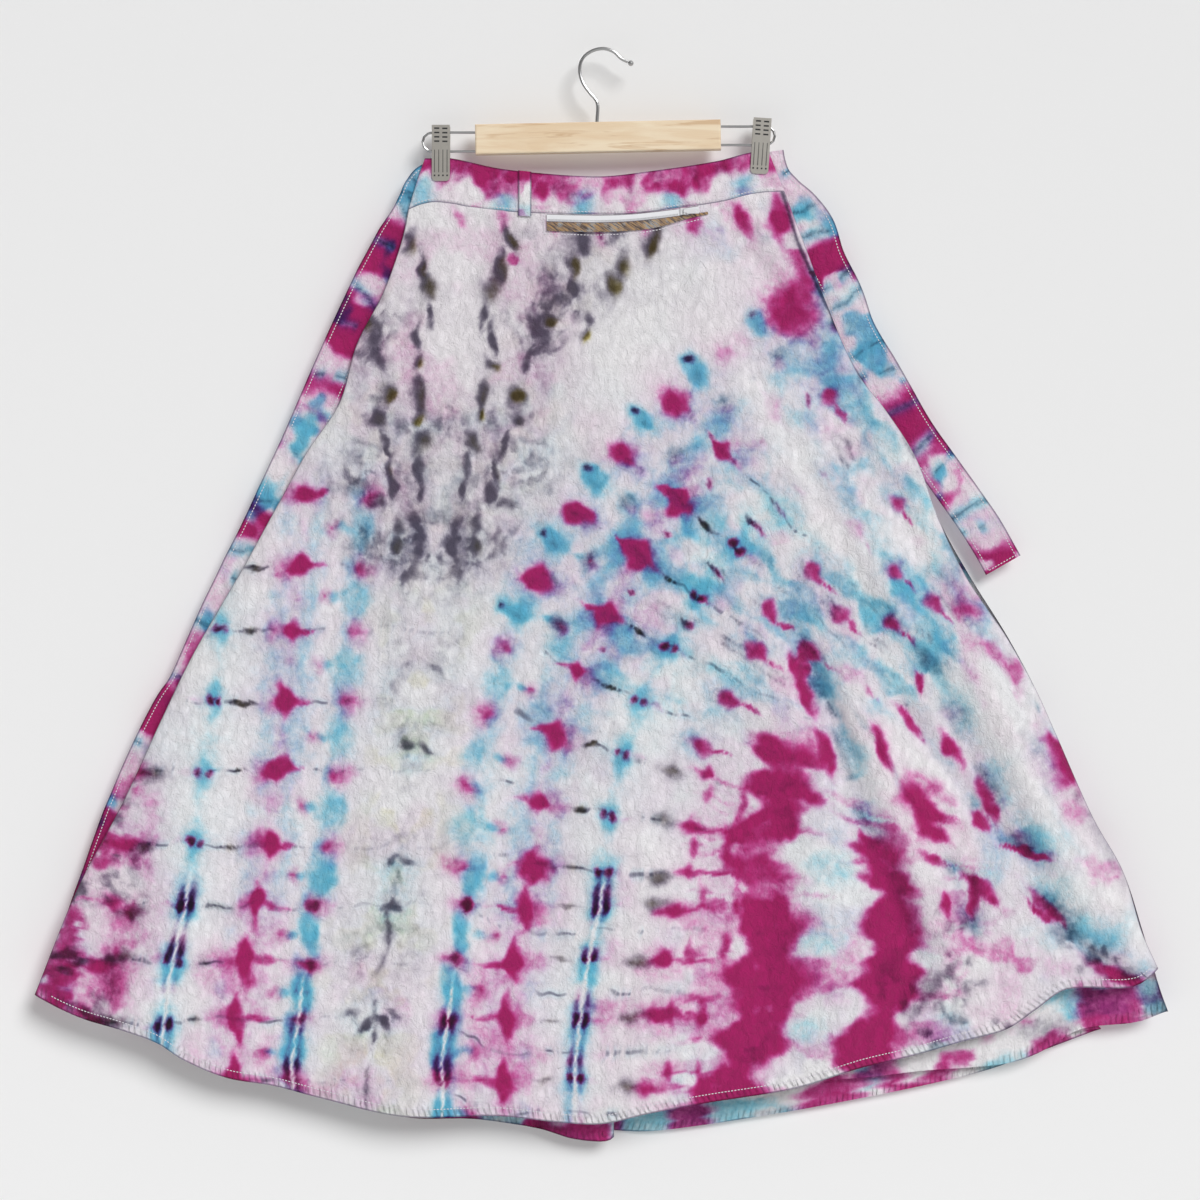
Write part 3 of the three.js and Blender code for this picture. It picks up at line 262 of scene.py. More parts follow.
# ------------------------------------------------------------------ the cloth's forms
growth = lambda v: np.asarray(v, float) ** 0.8
front_depth = lambda v: -LAYER - PANEL_DEPTH * growth(v)
inner_depth = lambda v: 1.5 * growth(v)
outer_near = lambda v: LAYER + 2.5 * growth(v)
outer_far = lambda v: LAYER + PANEL_DEPTH * growth(v)
fold_reach = lambda v: mix(WAIST_FOLD, HEM_FOLD, growth(v))
lower_z = column(*zip(*BAND_LOWER))
upper_z = column(*zip(*BAND_UPPER))
band_sag = lambda x: 6 * ease(0, 1, 1 - abs(x + 7) / 145)


def rounded(near, reach, middle, depth):
    t = np.clip(1 - near / reach, 0, 1)
    return np.where(near >= reach, depth, middle + (depth - middle) * np.sqrt(1 - t ** 2))


def seam_line(a, b):
    return lambda t: (mix(a, b, np.asarray(t, float)), lower_z(mix(a, b, np.asarray(t, float))) - SEAM)


def from_seam(rows):
    return [(rows[0][0], float(lower_z(rows[0][0])) - SEAM)] + rows[1:]


B_LEFT, B_RIGHT = BAND_LOWER[0][0], BAND_LOWER[-1][0]
left_fold = outline(from_seam(LEFT_FOLD))
front_patch = patch(seam_line(B_LEFT, B_RIGHT), outline(FRONT_HEM), left_fold,
                    outline(from_seam(RIGHT_FOLD)))
inner_patch = patch(seam_line(B_LEFT, BAND_INNER_END), outline(INNER_HEM), left_fold,
                    lambda v: (BAND_INNER_END + 0 * np.asarray(v, float),
                               mix(lower_z(BAND_INNER_END) - SEAM, INNER_HEM[-1][1], v)))
outer_patch = patch(seam_line(B_RIGHT, BAND_OUTER_END), outline(OUTER_HEM),
                    outline(from_seam(RIGHT_FOLD_OUTER)), outline(from_seam(OUTER_END)))


def wide(piece, v):
    return abs(piece(1.0, v)[0] - piece(0.0, v)[0])


def front_point(u, v):
    x, z = front_patch(u, v)
    reach = fold_reach(v)
    near = np.minimum(u, 1 - u) * wide(front_patch, v)
    middle = (front_depth(v) + np.where(u < 0.5, inner_depth(v), outer_near(v))) / 2
    lift = ease(0, 2.2, near / reach)
    sag = band_sag(x) * (1 - ease(0, 0.45, v))
    fine = 2.5 * fold_rise(FRONT_CREASES, x, z)
    depth = front_depth(v) - lift * (fold_rise(FRONT_FOLDS, x, z) + sag + fine)
    return x, rounded(near, reach, middle, depth), z


def front_at(u, v):
    return [float(q) for q in front_point(np.float64(u), np.float64(v))]


def inner_point(u, v):
    x, z = inner_patch(u, v)
    reach = fold_reach(v)
    near = u * wide(inner_patch, v)
    middle = (front_depth(v) + inner_depth(v)) / 2
    depth = inner_depth(v) - ease(1, 3, near / reach) * fold_rise(INNER_FOLDS, x, z)
    return x, rounded(near, reach, middle, depth), z


deep_x, deep_z, deep_layer = (column([r[0] for r in DEEP_FOLD], [r[k] for r in DEEP_FOLD]) for k in (1, 2, 3))
outer_hem_place = outline(OUTER_HEM)


def outer_point(u, v):
    x, z = outer_patch(u, v)
    opened = np.maximum(0, (v - 0.36) / 0.64) ** 1.2
    plain = outer_hem_place(u)
    settle = np.where(u < 0.5, 1 - ease(0.42, 0.5, u), 0)
    x = x + opened * settle * (deep_x(u) - plain[0])
    z = z + opened * settle * (deep_z(u) - plain[1])
    reach = fold_reach(v)
    near = u * wide(outer_patch, v)
    middle = (front_depth(v) + outer_near(v)) / 2
    layer = mix(ease(0.05, 0.5, u), deep_layer(u), ease(0.3, 0.62, v))
    far = np.where(u < 0.5, layer, 1)
    depth = mix(outer_near(v), outer_far(v), far) + ease(0.44, 0.56, u) * fold_rise(OUTER_FOLDS, x, z)
    return x, rounded(near, reach, middle, depth), z


# ------------------------------------------------------------------ mesh building
def mesh_object(name, points, faces, material, smooth=True):
    mesh = bpy.data.meshes.new(name)
    mesh.from_pydata([tuple(p) for p in np.asarray(points) * MM], [], faces)
    mesh.update()
    if smooth:
        mesh.polygons.foreach_set("use_smooth", [True] * len(mesh.polygons))
    obj = bpy.data.objects.new(name, mesh)
    SCENE.collection.objects.link(obj)
    mesh.materials.append(material)
    return obj


def paint(obj, **layers):
    """Named values at each point: four numbers as a colour, three as a vector, one as a float."""
    for name, values in layers.items():
        values = np.asarray(values, np.float32)
        kind = {4: ("FLOAT_COLOR", "color"), 3: ("FLOAT_VECTOR", "vector")}.get(
            values.shape[1] if values.ndim == 2 else 1, ("FLOAT", "value"))
        layer = obj.data.attributes.new(name, kind[0], "POINT")
        layer.data.foreach_set(kind[1], values.ravel())


def panel_grid(piece, pitch, rows, fold_end):
    """Places down a panel in rows of nearly even pitch, finer round its side folds. Gives across,
    down and the triangles."""
    us, vs, starts, faces = [], [], [], []
    total = 0
    for j in range(rows + 1):
        v = j / rows
        width = float(wide(piece, v))
        reach = float(fold_reach(v)) / width
        turn = reach * (1 - np.cos(np.arange(6) / 6 * math.pi / 2))
        last = 1 - reach if fold_end else 1.0
        flat = np.linspace(reach, last, max(4, int(round((last - reach) * width / pitch))))
        u = np.concatenate([turn, flat] + ([1 - turn[::-1]] if fold_end else []))
        us.append(u)
        vs.append(np.full(len(u), v))
        starts.append(total)
        total += len(u)
    for j in range(rows):
        a, b, ua, ub = starts[j], starts[j + 1], us[j], us[j + 1]
        i = k = 0
        while i < len(ua) - 1 or k < len(ub) - 1:
            if k == len(ub) - 1 or (i < len(ua) - 1 and ua[i + 1] <= ub[k + 1]):
                faces.append((a + i, b + k, a + i + 1))
                i += 1
            else:
                faces.append((a + i, b + k, b + k + 1))
                k += 1
    return np.concatenate(us), np.concatenate(vs), faces


# ------------------------------------------------------------------ the dye
# Dye places are in the cloth's own mm: e to the right, s down from the hook, as if laid flat.
# the mirror line: s, e
MIRROR = [(300, 460), (600, 430), (745, 415), (870, 400), (980, 378), (1060, 368)]
TIE_CENTRE = (1150, 900)   # the point that was pinched to make the rings
RING_OUT, RING_STEP = 690, 72
RAY_TOP, RAY_STEP = 46.4, 6.2


def mirror_e(s):
    return np.interp(s, *zip(*MIRROR))


ROW_AT = [420, 495, 565, 630, 700, 770, 845, 905, 960, 1020, 1080, 1140, 1200]  # s of rows 1, 2, ...
ROWS = np.arange(1, 14)


def left_row(v):
    return np.interp(v, ROWS, ROW_AT)


def ring_place(u, v):
    """Where ring u and ray v cross on the right of the mirror line, and the ray's slope there."""
    radius = RING_OUT - RING_STEP * (u - 2)
    angle = math.radians(RAY_TOP - RAY_STEP * v)
    if angle > 0:
        return (TIE_CENTRE[0] - radius * math.cos(angle), TIE_CENTRE[1] - radius * math.sin(angle), angle)
    s = TIE_CENTRE[1] + (v - RAY_TOP / RAY_STEP) * 60
    return TIE_CENTRE[0] - radius - 0.17 * (s - TIE_CENTRE[1]), s, 0.0


def side_offset(u):
    return float(np.interp(u, [1, 2, 3, 4, 5], [30, 75, 135, 207, 280]))


def fold_places(e, s):
    """The ring and ray numbers of each place of the cloth, and the pitch of the rays there."""
    r = np.where(s < TIE_CENTRE[1], np.hypot(TIE_CENTRE[0] - e, TIE_CENTRE[1] - s),
                 TIE_CENTRE[0] - e - 0.17 * (s - TIE_CENTRE[1]))
    u_right = 2 + (RING_OUT - r) / RING_STEP
    angle = np.degrees(np.arctan2(TIE_CENTRE[1] - s, np.maximum(TIE_CENTRE[0] - e, 1)))
    v_right = np.where(angle > 0, (RAY_TOP - angle) / RAY_STEP,
                       RAY_TOP / RAY_STEP + (s - TIE_CENTRE[1]) / 60)
    d = abs(e - mirror_e(s))
    u_left = np.interp(d, [0, 30, 75, 135, 207, 280, 420], [0, 1, 2, 3, 4, 5, 7])
    v_left = np.interp(s, ROW_AT, ROWS)
    side = ease(40, 150, e - mirror_e(s))
    pitch = mix(68, np.radians(RAY_STEP) * np.maximum(r, 60), side)
    return mix(u_left, u_right, side), mix(v_left, v_right, side), pitch


class Dye:
    """Magenta, cyan, charcoal and olive strengths at each point of a piece of cloth; on the front the
    charcoal also holds painted shade in the fold troughs and a painted shadow beside the right tie.
    """

    def __init__(self, e, s):
        self.e = e + 9 * (noise(e, s, 26, 81) - 0.5) + 5 * (noise(e, s, 9, 82) - 0.5)
        self.s = s + 9 * (noise(e, s, 26, 83) - 0.5) + 5 * (noise(e, s, 9, 84) - 0.5)
        self.m, self.c, self.k, self.o = (np.zeros(len(e)) for _ in range(4))

    def spot(self, dye, e, s, long, broad, angle=0.0, power=1.0, shape=1.0, soft=0.5, halo=0.0):
        """A spot with its long side along the angle; shape 1 is a diamond, 2 an oval. A halo is
        the paler dye that has run out round it."""
        reach = 3.2 * max(long, broad)
        near = (abs(self.e - e) < reach) & (abs(self.s - s) < reach)
        if not near.any():
            return
        de, ds = self.e[near] - e, self.s[near] - s
        a = abs(de * math.cos(angle) + ds * math.sin(angle)) / long
        b = abs(-de * math.sin(angle) + ds * math.cos(angle)) / broad
        far = (a ** shape + b ** shape) ** (1 / shape)
        patchy = 0.72 + 0.56 * noise(self.e[near], self.s[near], 8, 5)
        add = power * patchy * np.exp(-(far / (0.66 + 0.36 * soft)) ** (4.6 - 2.0 * soft))
        if halo:
            add = add + 0.9 * halo * patchy * np.exp(-(a ** 2 + b ** 2) / 5.0)
        field = getattr(self, dye)
        field[near] = np.maximum(field[near], add) + 0.3 * np.minimum(field[near], add)

    def marks(self, place, lean, *rows):
        """Spots round one place: dye, shift along, long, broad, power, shape, soft, and perhaps the
        halo and a shift across."""
        for dye, along, long, broad, power, shape, soft, *more in rows:
            halo, across = (*more, 0.0, 0.0)[:2]
            self.spot(dye, *shifted(place, along, across), long, broad, lean, power, shape, soft, halo)

    def add(self, dye, amount):
        field = getattr(self, dye)
        field += amount

    def values(self):
        return np.stack([self.m, self.c, self.k, self.o], 1).clip(0, 1.6)


# rows of fans beyond the fourth ring: ring, first row, last row, step
FAN_ROWS = [(5.0, -1.7, 4.4, 1.0), (5.7, -0.8, 2.2, 1.2), (6.4, -1.4, 1.8, 1.4), (3.3, -3.0, -1.6, 1.1)]
rng = np.random.default_rng(7)


def jit(amount):
    return float(rng.uniform(-amount, amount))


def crossing(side, u, v):
    """Where ring u and row v cross on one side of the mirror line, and which way the row runs
    there, away from the line. Low rows run level on both sides."""
    if side > 0 and v < 7.4:
        return ring_place(u, v)
    s = float(left_row(v))
    slant = 0.0 if side > 0 else math.pi
    return float(mirror_e(s)) + side * side_offset(u), s, slant


def shifted(place, along, across=0.0):
    e, s, a = place
    return (e + along * math.cos(a) - across * math.sin(a), s + along * math.sin(a) + across * math.cos(a))


def column_motifs(dye, side, v):
    """What a whole row carries, from the mirror line outwards: a pink star, a magenta diamond, a
    dark spindle on the row, and a dark bow round a white slit."""
    grow = 1 + jit(0.18)
    low = float(ease(6.6, 8.2, v))
    p = crossing(side, 2, v + jit(0.05))
    a = p[2]
    dye.marks(p, a, ("m", -2, 17 * grow, mix(17, 13, low), 0.34, 1.3, 0.9, 0.10),
              ("m", 1, 9 * grow, 8, 0.55 + 0.35 * low, 1.3, 0.8),
              ("k", 0, mix(4, 8, low), mix(3, 9, low), mix(0.25, 0.7, low), 1.4, 0.8),
              ("c", 9, 9, 13, 0.45, 2, 0.9))
    p = crossing(side, 3, v + jit(0.05))
    tall = mix(15, 25, low)
    dye.marks(p, a, ("m", 12, 17, 14, 0.36, 1.8, 0.8, 0.08),
              ("m", 0, mix(15, 10, low) * grow, tall * grow, 0.92, 1.15, 0.6, 0.24),
              ("m", -14, mix(13, 26, low), 5, 0.65, 1.1, 0.8),
              ("k", 0, 8, 7, 0.12, 1.6, 0.9))
    p = crossing(side, 3.55, v)
    dye.marks(p, a, ("k", 0, 12, 3.2, 0.95 - 0.5 * low, 1.2, 0.8, 0.10),
              ("o", 0, 7, 4, 0.5 - 0.3 * low, 1.2, 0.8))
    bow(dye, crossing(side, 4, v + jit(0.06)))


def bow(dye, p):
    """Two dark squares with a white slit between them, in a pool of cyan."""
    a = p[2]
    dye.marks(p, a, ("c", 0, 14, 18, 0.6, 1.8, 0.9, 0.08))
    for way in (-1, 1):
        dye.marks(p, a, ("k", 4.6 * way, 4.2, 5.4, 0.72, 2.4, 0.5),
                  ("m", 5.0 * way, 5.0, 6.4, 0.7, 2.4, 0.6, 0.05))
    dye.marks(p, a, ("m", 15, 10, 4, 0.22, 1.2, 0.9))


def half_motifs(dye, side, v):
    """What lies between two rows: a cyan oval, and a violet disc with a small dark heart."""
    low = float(ease(6.0, 8.0, v))
    p = crossing(side, 2, v)
    a = p[2]
    dye.marks(p, a, ("c", 0, mix(16, 12, low), 27, 0.5 + 0.35 * low, 2.0, 0.7, 0.08),
              ("c", 0, mix(8, 4, low), 15, -0.25, 2.0, 0.6))
    p = crossing(side, 2.5, v)
    dye.marks(p, a, ("m", 0, 12, 11, 0.30, 2.2, 0.45),
              ("k", 0, 11, 10, 0.18, 2.2, 0.5),
              ("m", 1, 5, 3, 0.45, 1.4, 0.7),
              ("c", -10, 9, 6, 0.6, 1.5, 0.9))
    p = crossing(side, 3, v)
    dye.marks(p, a, ("m", 0, 7, 12, 0.20, 1.6, 0.9),
              ("c", 20, 9, 12, 0.28, 2.0, 0.9))


def ray_motifs(dye, v):
    """The upper rays on the right, beyond the straight rows."""
    p = ring_place(2, v)
    a = p[2]
    grow = float(np.interp(v, [-3, -2, -1, 0, 3], [2.3, 2.1, 1.6, 1.15, 1.0])) * (1 + jit(0.1))
    dye.marks(p, a, ("m", 0, 14 * grow, 13 * grow, 0.85, 1.7, 0.7, 0.22),
              ("k", 0, 6 * grow, 5 * grow, 0.1, 1.5, 0.9),
              ("m", 18 * grow, 15, 10, 0.3, 1.6, 0.9),
              ("c", 12 * grow, 24, 16 * grow, 0.4, 2.0, 0.9))
    if v > -1.5:
        p = ring_place(3, v)
        grow = 1 + jit(0.15)
        dye.marks(p, a, ("m", 0, 17 * grow, 12 * grow, 1.0, 1.1, 0.5, 0.16),
                  ("m", -16, 15, 4.2, 0.7, 1.1, 0.7),
                  ("m", 18, 13, 5, 0.45, 1.1, 0.8),
                  ("k", 4, 8, 6, 0.14, 1.6, 0.9))
    # half rows: a blue lobe with a dark bead, a smudge, and a small slit
    p = ring_place(1.88, v + 0.5)
    dye.marks(p, a, ("c", 0, 21, 13, 0.85, 2.0, 0.6, 0.1),
              ("k", -11, 4.6, 4.6, 0.75, 2.0, 0.7, 0, -1),
              ("m", -10, 5, 5, 0.5, 2.0, 0.7, 0, -1),
              ("k", 4, 8, 4, 0.3, 1.5, 0.9, 0, 2))
    p = ring_place(2.52, v + 0.5)
    dye.marks(p, a, ("k", -3, 9, 11, 0.42, 1.8, 0.9, 0.08),
              ("m", 4, 9, 9, 0.38, 1.8, 0.9, 0, 3),
              ("c", 0, 16, 20, 0.5, 1.9, 0.9))
    p = ring_place(3.2, v + 0.5)
    dye.marks(p, a, ("m", 0, 7, 4, 0.6, 1.2, 0.7),
              ("k", 0, 5, 3, 0.55, 1.2, 0.7))


def ray_wash(dye, u, v, right, lump, fine):
    """Pale washes between the upper rays: blue round white ovals that lie along the rays."""
    e, s = dye.e, dye.s
    zone = right * (1 - ease(3.4, 6.0, v + 0.55 * (u - 3))) * ease(2.2, 3.0, u) * (1 - ease(6.8, 8.0, u))
    wide_wave = 0.30 * (noise(e, s, 60, 12) - 0.5)
    rays = 0.5 + 0.5 * np.cos(2 * math.pi * (v + wide_wave))
    steps = 0.5 + 0.5 * np.cos(2 * math.pi * (u * 1.15 + wide_wave))
    ovals = ease(0.50, 0.95, (1 - rays) * 0.75 + (1 - steps) * 0.55)
    along = cloud(u * 22, v * 60, 20, 11)
    depth = 0.12 + 0.36 * ease(0.30, 0.62, along) + 0.26 * ease(0.45, 0.7, lump)
    dye.add("c", zone * depth * (1 - 0.85 * ovals))
    dye.add("k", zone * 0.22 * ease(0.45, 0.7, along) * ease(0.35, 0.6, fine) * (1 - ovals)
            * ease(3.2, 4.2, u))
    dye.add("m", zone * 0.13 * ease(0.5, 0.72, cloud(e, s, 30, 13)))
    edge = bell(rays - 0.06, 0.06) * ease(0.45, 0.66, noise(u * 3.4, v * 2.0, 1, 14))
    dye.add("k", zone * 0.42 * edge * ease(3.0, 4.0, u))


def strong_bands(dye, u, v, right, lump, fine):
    """Two strong magenta bands round the pinched point, petal by petal along the rays."""
    wander = 0.45 * (noise(v * 0.8, u * 0.3, 1, 21) - 0.5) + 0.26 * (noise(v * 4.6, u * 0.8, 1, 22) - 0.5)
    petals = 0.5 + 0.5 * np.cos(2 * math.pi * (v + 0.15 + 0.25 * (noise(u * 2, v, 1, 23) - 0.5)))
    blotch = ease(0.28, 0.62, cloud(dye.e, dye.s, 40, 29))
    for ring, half, top, power in ((6.2, 0.36, 3.7, 1.0), (8.0, 0.33, 3.3, 0.98)):
        off = u + wander - ring
        half_at = half * (0.62 + 0.42 * petals) * np.where(off > 0, 1.35, 1.0)
        body = 1 - ease(0.45, 1.75, abs(off) / half_at)
        gate = ease(top - 0.8, top + 0.4, v) * right
        dye.add("m", 1.3 * power * body * gate
                * (0.42 + 0.26 * petals + 0.46 * blotch * ease(0.3, 0.6, fine + 0.1)))
        dye.add("k", 0.20 * body * gate * ease(0.46, 0.66, fine) * ease(0.4, 0.6, lump))
        dye.add("m", 0.20 * gate * np.exp(-(off / (2.1 * half)) ** 2) * ease(0.4, 0.62, lump))
    streak = ease(0.50, 0.68, noise(u * 0.9, v * 4.2, 1, 24))
    between = bell(u - 7.2, 0.62) * right * ease(3.4, 4.4, v)
    dye.add("m", 0.30 * between * streak)
    dye.add("c", 0.16 * between * ease(0.4, 0.6, lump))
    for ring, row in ((7.15, 6.6), (7.1, 8.2), (7.1, 9.7), (7.0, 11.2), (7.2, 12.4)):
        p = ring_place(ring, row)
        dye.marks(p, p[2], ("m", 0, 32, 18, -0.9, 2.2, 0.5),
                  ("c", 0, 34, 19, 0.34, 2.2, 0.6))
    # streaks of dye run inwards and outwards from the bands
    hair = ease(0.54, 0.74, noise(u * 1.1, v * 6.5, 1, 30)) * right * ease(4.8, 6.0, v)
    dye.add("m", 0.26 * hair * bell(u - 5.55, 0.4))
    dye.add("m", 0.30 * hair * bell(u - 8.9, 0.5))


def right_folds(dye):
    """Faint stripes that run the way of the pressed folds at the right."""
    e, s = dye.e, dye.s
    across = (e - 930) * 0.86 - (s - 600) * 0.5
    along = (e - 930) * 0.5 + (s - 600) * 0.86
    zone = ease(540, 620, s) * (1 - ease(850, 930, s)) * ease(-70, 0, across)
    dye.add("m", zone * 0.60 * ease(0.52, 0.76, noise(across, along * 0.16, 19, 25))
            * ease(0.32, 0.6, cloud(e, s, 42, 26)))
    dye.add("k", zone * 0.34 * ease(0.48, 0.74, noise(across, along * 0.14, 13, 27))
            * ease(0.3, 0.6, cloud(e, s, 30, 36)))
    dye.add("c", zone * 0.40 * ease(0.46, 0.72, noise(across, along * 0.16, 23, 28)))


def along_fold(dye, fold):
    """Share of the fold's length and distance from its middle, with ends that fade."""
    x0, z0, x1, z1 = fold[:4]
    de, ds = x1 - x0, z0 - z1
    length = math.hypot(de, ds)
    pe, ps = dye.e - (x0 + DYE_E), dye.s - (DYE_S - z0)
    share = (pe * de + ps * ds) / length ** 2
    off = (pe * ds - ps * de) / length + 5 * (noise(dye.e, dye.s, 30, 57) - 0.5)
    return share, off, length, ease(-0.25, 0.2, share) * (1 - ease(0.9, 1.25, share))


STREAK_STEP = 62


def fold_dye_and_painted_shade(dye):
    """Painted shade and dye along the pressed folds: charcoal and cyan gather in each trough, partly as
    painted shade and partly as the dye's own fold stripes, and the high rolls between them are kept pale as
    painted light.
    """
    folds = FRONT_FOLDS[:8] + FRONT_CREASES[:12]
    for fold in folds:
        share, off, length, ends = along_fold(dye, fold)
        # painted light: the dye is taken off the high rolls so that they read lighter
        if fold[5] > 2:
            pale = 0.85 * ends * np.exp(-(off / (0.62 * fold[4])) ** 2)
            for field in (dye.m, dye.c, dye.k):
                field *= 1 - pale
    for fold in folds:
        if fold[5] > 0:
            continue
        share, off, length, ends = along_fold(dye, fold)
        half, deep = fold[4], min(1.0, abs(fold[5]) / 5)
        patchy = 0.35 + 0.65 * ease(0.3, 0.6, noise(share * length, off * 0.3, 26, 58))
        # painted shade: charcoal down the middle of each trough, with cyan beside it that is partly dye
        dye.add("k", (0.16 + 0.22 * deep) * ends * patchy * np.exp(-(off / max(0.45 * half, 3.5)) ** 2))
        dye.add("c", (0.20 + 0.24 * deep) * ends * patchy * np.exp(-((off - 0.4 * half) / (0.8 * half)) ** 2))
        # magenta ran into the trough at uneven steps, in streaks that lean with it
        x0, z0, x1, z1 = fold[:4]
        lean = math.atan2(z0 - z1, x1 - x0)
        for k in range(max(1, int(length / STREAK_STEP))):
            t = (k + 0.5 + jit(0.35)) * STREAK_STEP / length
            aside = 0.7 * half + jit(5)
            pe = x0 + DYE_E + t * (x1 - x0) - aside * math.sin(lean)
            ps = DYE_S - z0 + t * (z0 - z1) + aside * math.cos(lean)
            dye.spot("m", pe, ps, 24 + jit(9), 7 + jit(3), lean + jit(0.2), 0.85, 1.4, 0.6, 0.14)


# half the distance between the V's arms, at each s
ARM_AT = [215, 250, 300, 345, 400, 470, 540, 620]
ARM = [140, 124, 100, 84, 70, 56, 40, 22]


def mottled_v(dye, a):
    """The grey and mossy V below the waistband, alike on both sides of the mirror line."""
    e, s = dye.e, dye.s
    arm = np.interp(s, ARM_AT, ARM)
    thick = np.interp(s, [215, 300, 345, 400, 470, 560, 640], [64, 48, 40, 62, 66, 52, 28])
    on_arm = np.exp(-(abs(a - arm) / thick) ** 2.0) * ease(205, 225, s) * (1 - ease(540, 660, s))
    inside = ease(1.35, 0.7, a / (arm + 34)) * ease(350, 430, s) * (1 - ease(520, 640, s))
    big, small, tiny = cloud(a, s, 42, 41), cloud(a * 1.3, s * 0.8, 17, 44), cloud(a * 1.2, s, 9, 46)
    ragged = ease(0.40, 0.58, big) * ease(0.38, 0.55, small)
    gap = 0.45 + 0.55 * ease(300, 420, s)
    speck = ease(0.47, 0.60, tiny) * ease(0.36, 0.56, big)
    wash = np.maximum(on_arm, inside)
    rays = ease(0.50, 0.66, noise(np.arctan2(s - 520, a + 30) * 9, s * 0.012, 1, 49))
    dye.add("k", wash * (0.18 + 0.12 * ease(0.36, 0.60, small) + 0.26 * speck
                         + 0.22 * rays * ease(0.4, 0.6, big)))
    dye.add("k", on_arm * gap * 0.22 * ragged * (1 - 0.5 * ease(360, 440, s)))
    dye.add("m", wash * (0.01 + 0.08 * ease(0.48, 0.62, cloud(a, s, 22, 42))))
    dye.add("c", wash * 0.16 * ease(0.44, 0.60, cloud(a, s, 30, 47)) * ease(330, 420, s))
    dye.add("o", on_arm * 0.10 * ease(0.5, 0.68, cloud(a, s, 18, 48)))
    for row in range(13):
        ps = 236 + 26 * row + jit(6)
        middle = float(np.interp(ps, ARM_AT, ARM))
        for place in (0.36, 1.0, 1.42) if row < 5 else (0.4, 0.95):
            pa = middle * (place + jit(0.1))
            long, broad = 17 + jit(7) - 0.4 * row, 8 + jit(3) - 0.2 * row
            dark, moss = 0.82 + jit(0.2), max(0.0, jit(1.0))
            lean = 1.45 + jit(0.5)
            for side in (-1, 1):
                if side < 0 and pa > 108:
                    continue
                turn = lean if side > 0 else math.pi - lean
                pe = float(mirror_e(ps)) + side * pa
                dye.spot("k", pe, ps, long, broad, turn, dark, 1.5, 0.9, 0.10)
                dye.spot("o", pe + 2, ps + 2, long * 0.7, broad * 0.7, turn, moss, 1.6, 0.9)
    dye.add("k", ease(170, 60, abs(a - 140)) * ease(215, 235, s) * (1 - ease(300, 360, s)) * 0.12
            * ease(0.4, 0.62, small))
    dye.add("m", ease(150, 60, a) * ease(215, 240, s) * (1 - ease(400, 480, s))
            * (0.03 + 0.14 * ease(0.42, 0.66, cloud(e, s, 34, 45))))


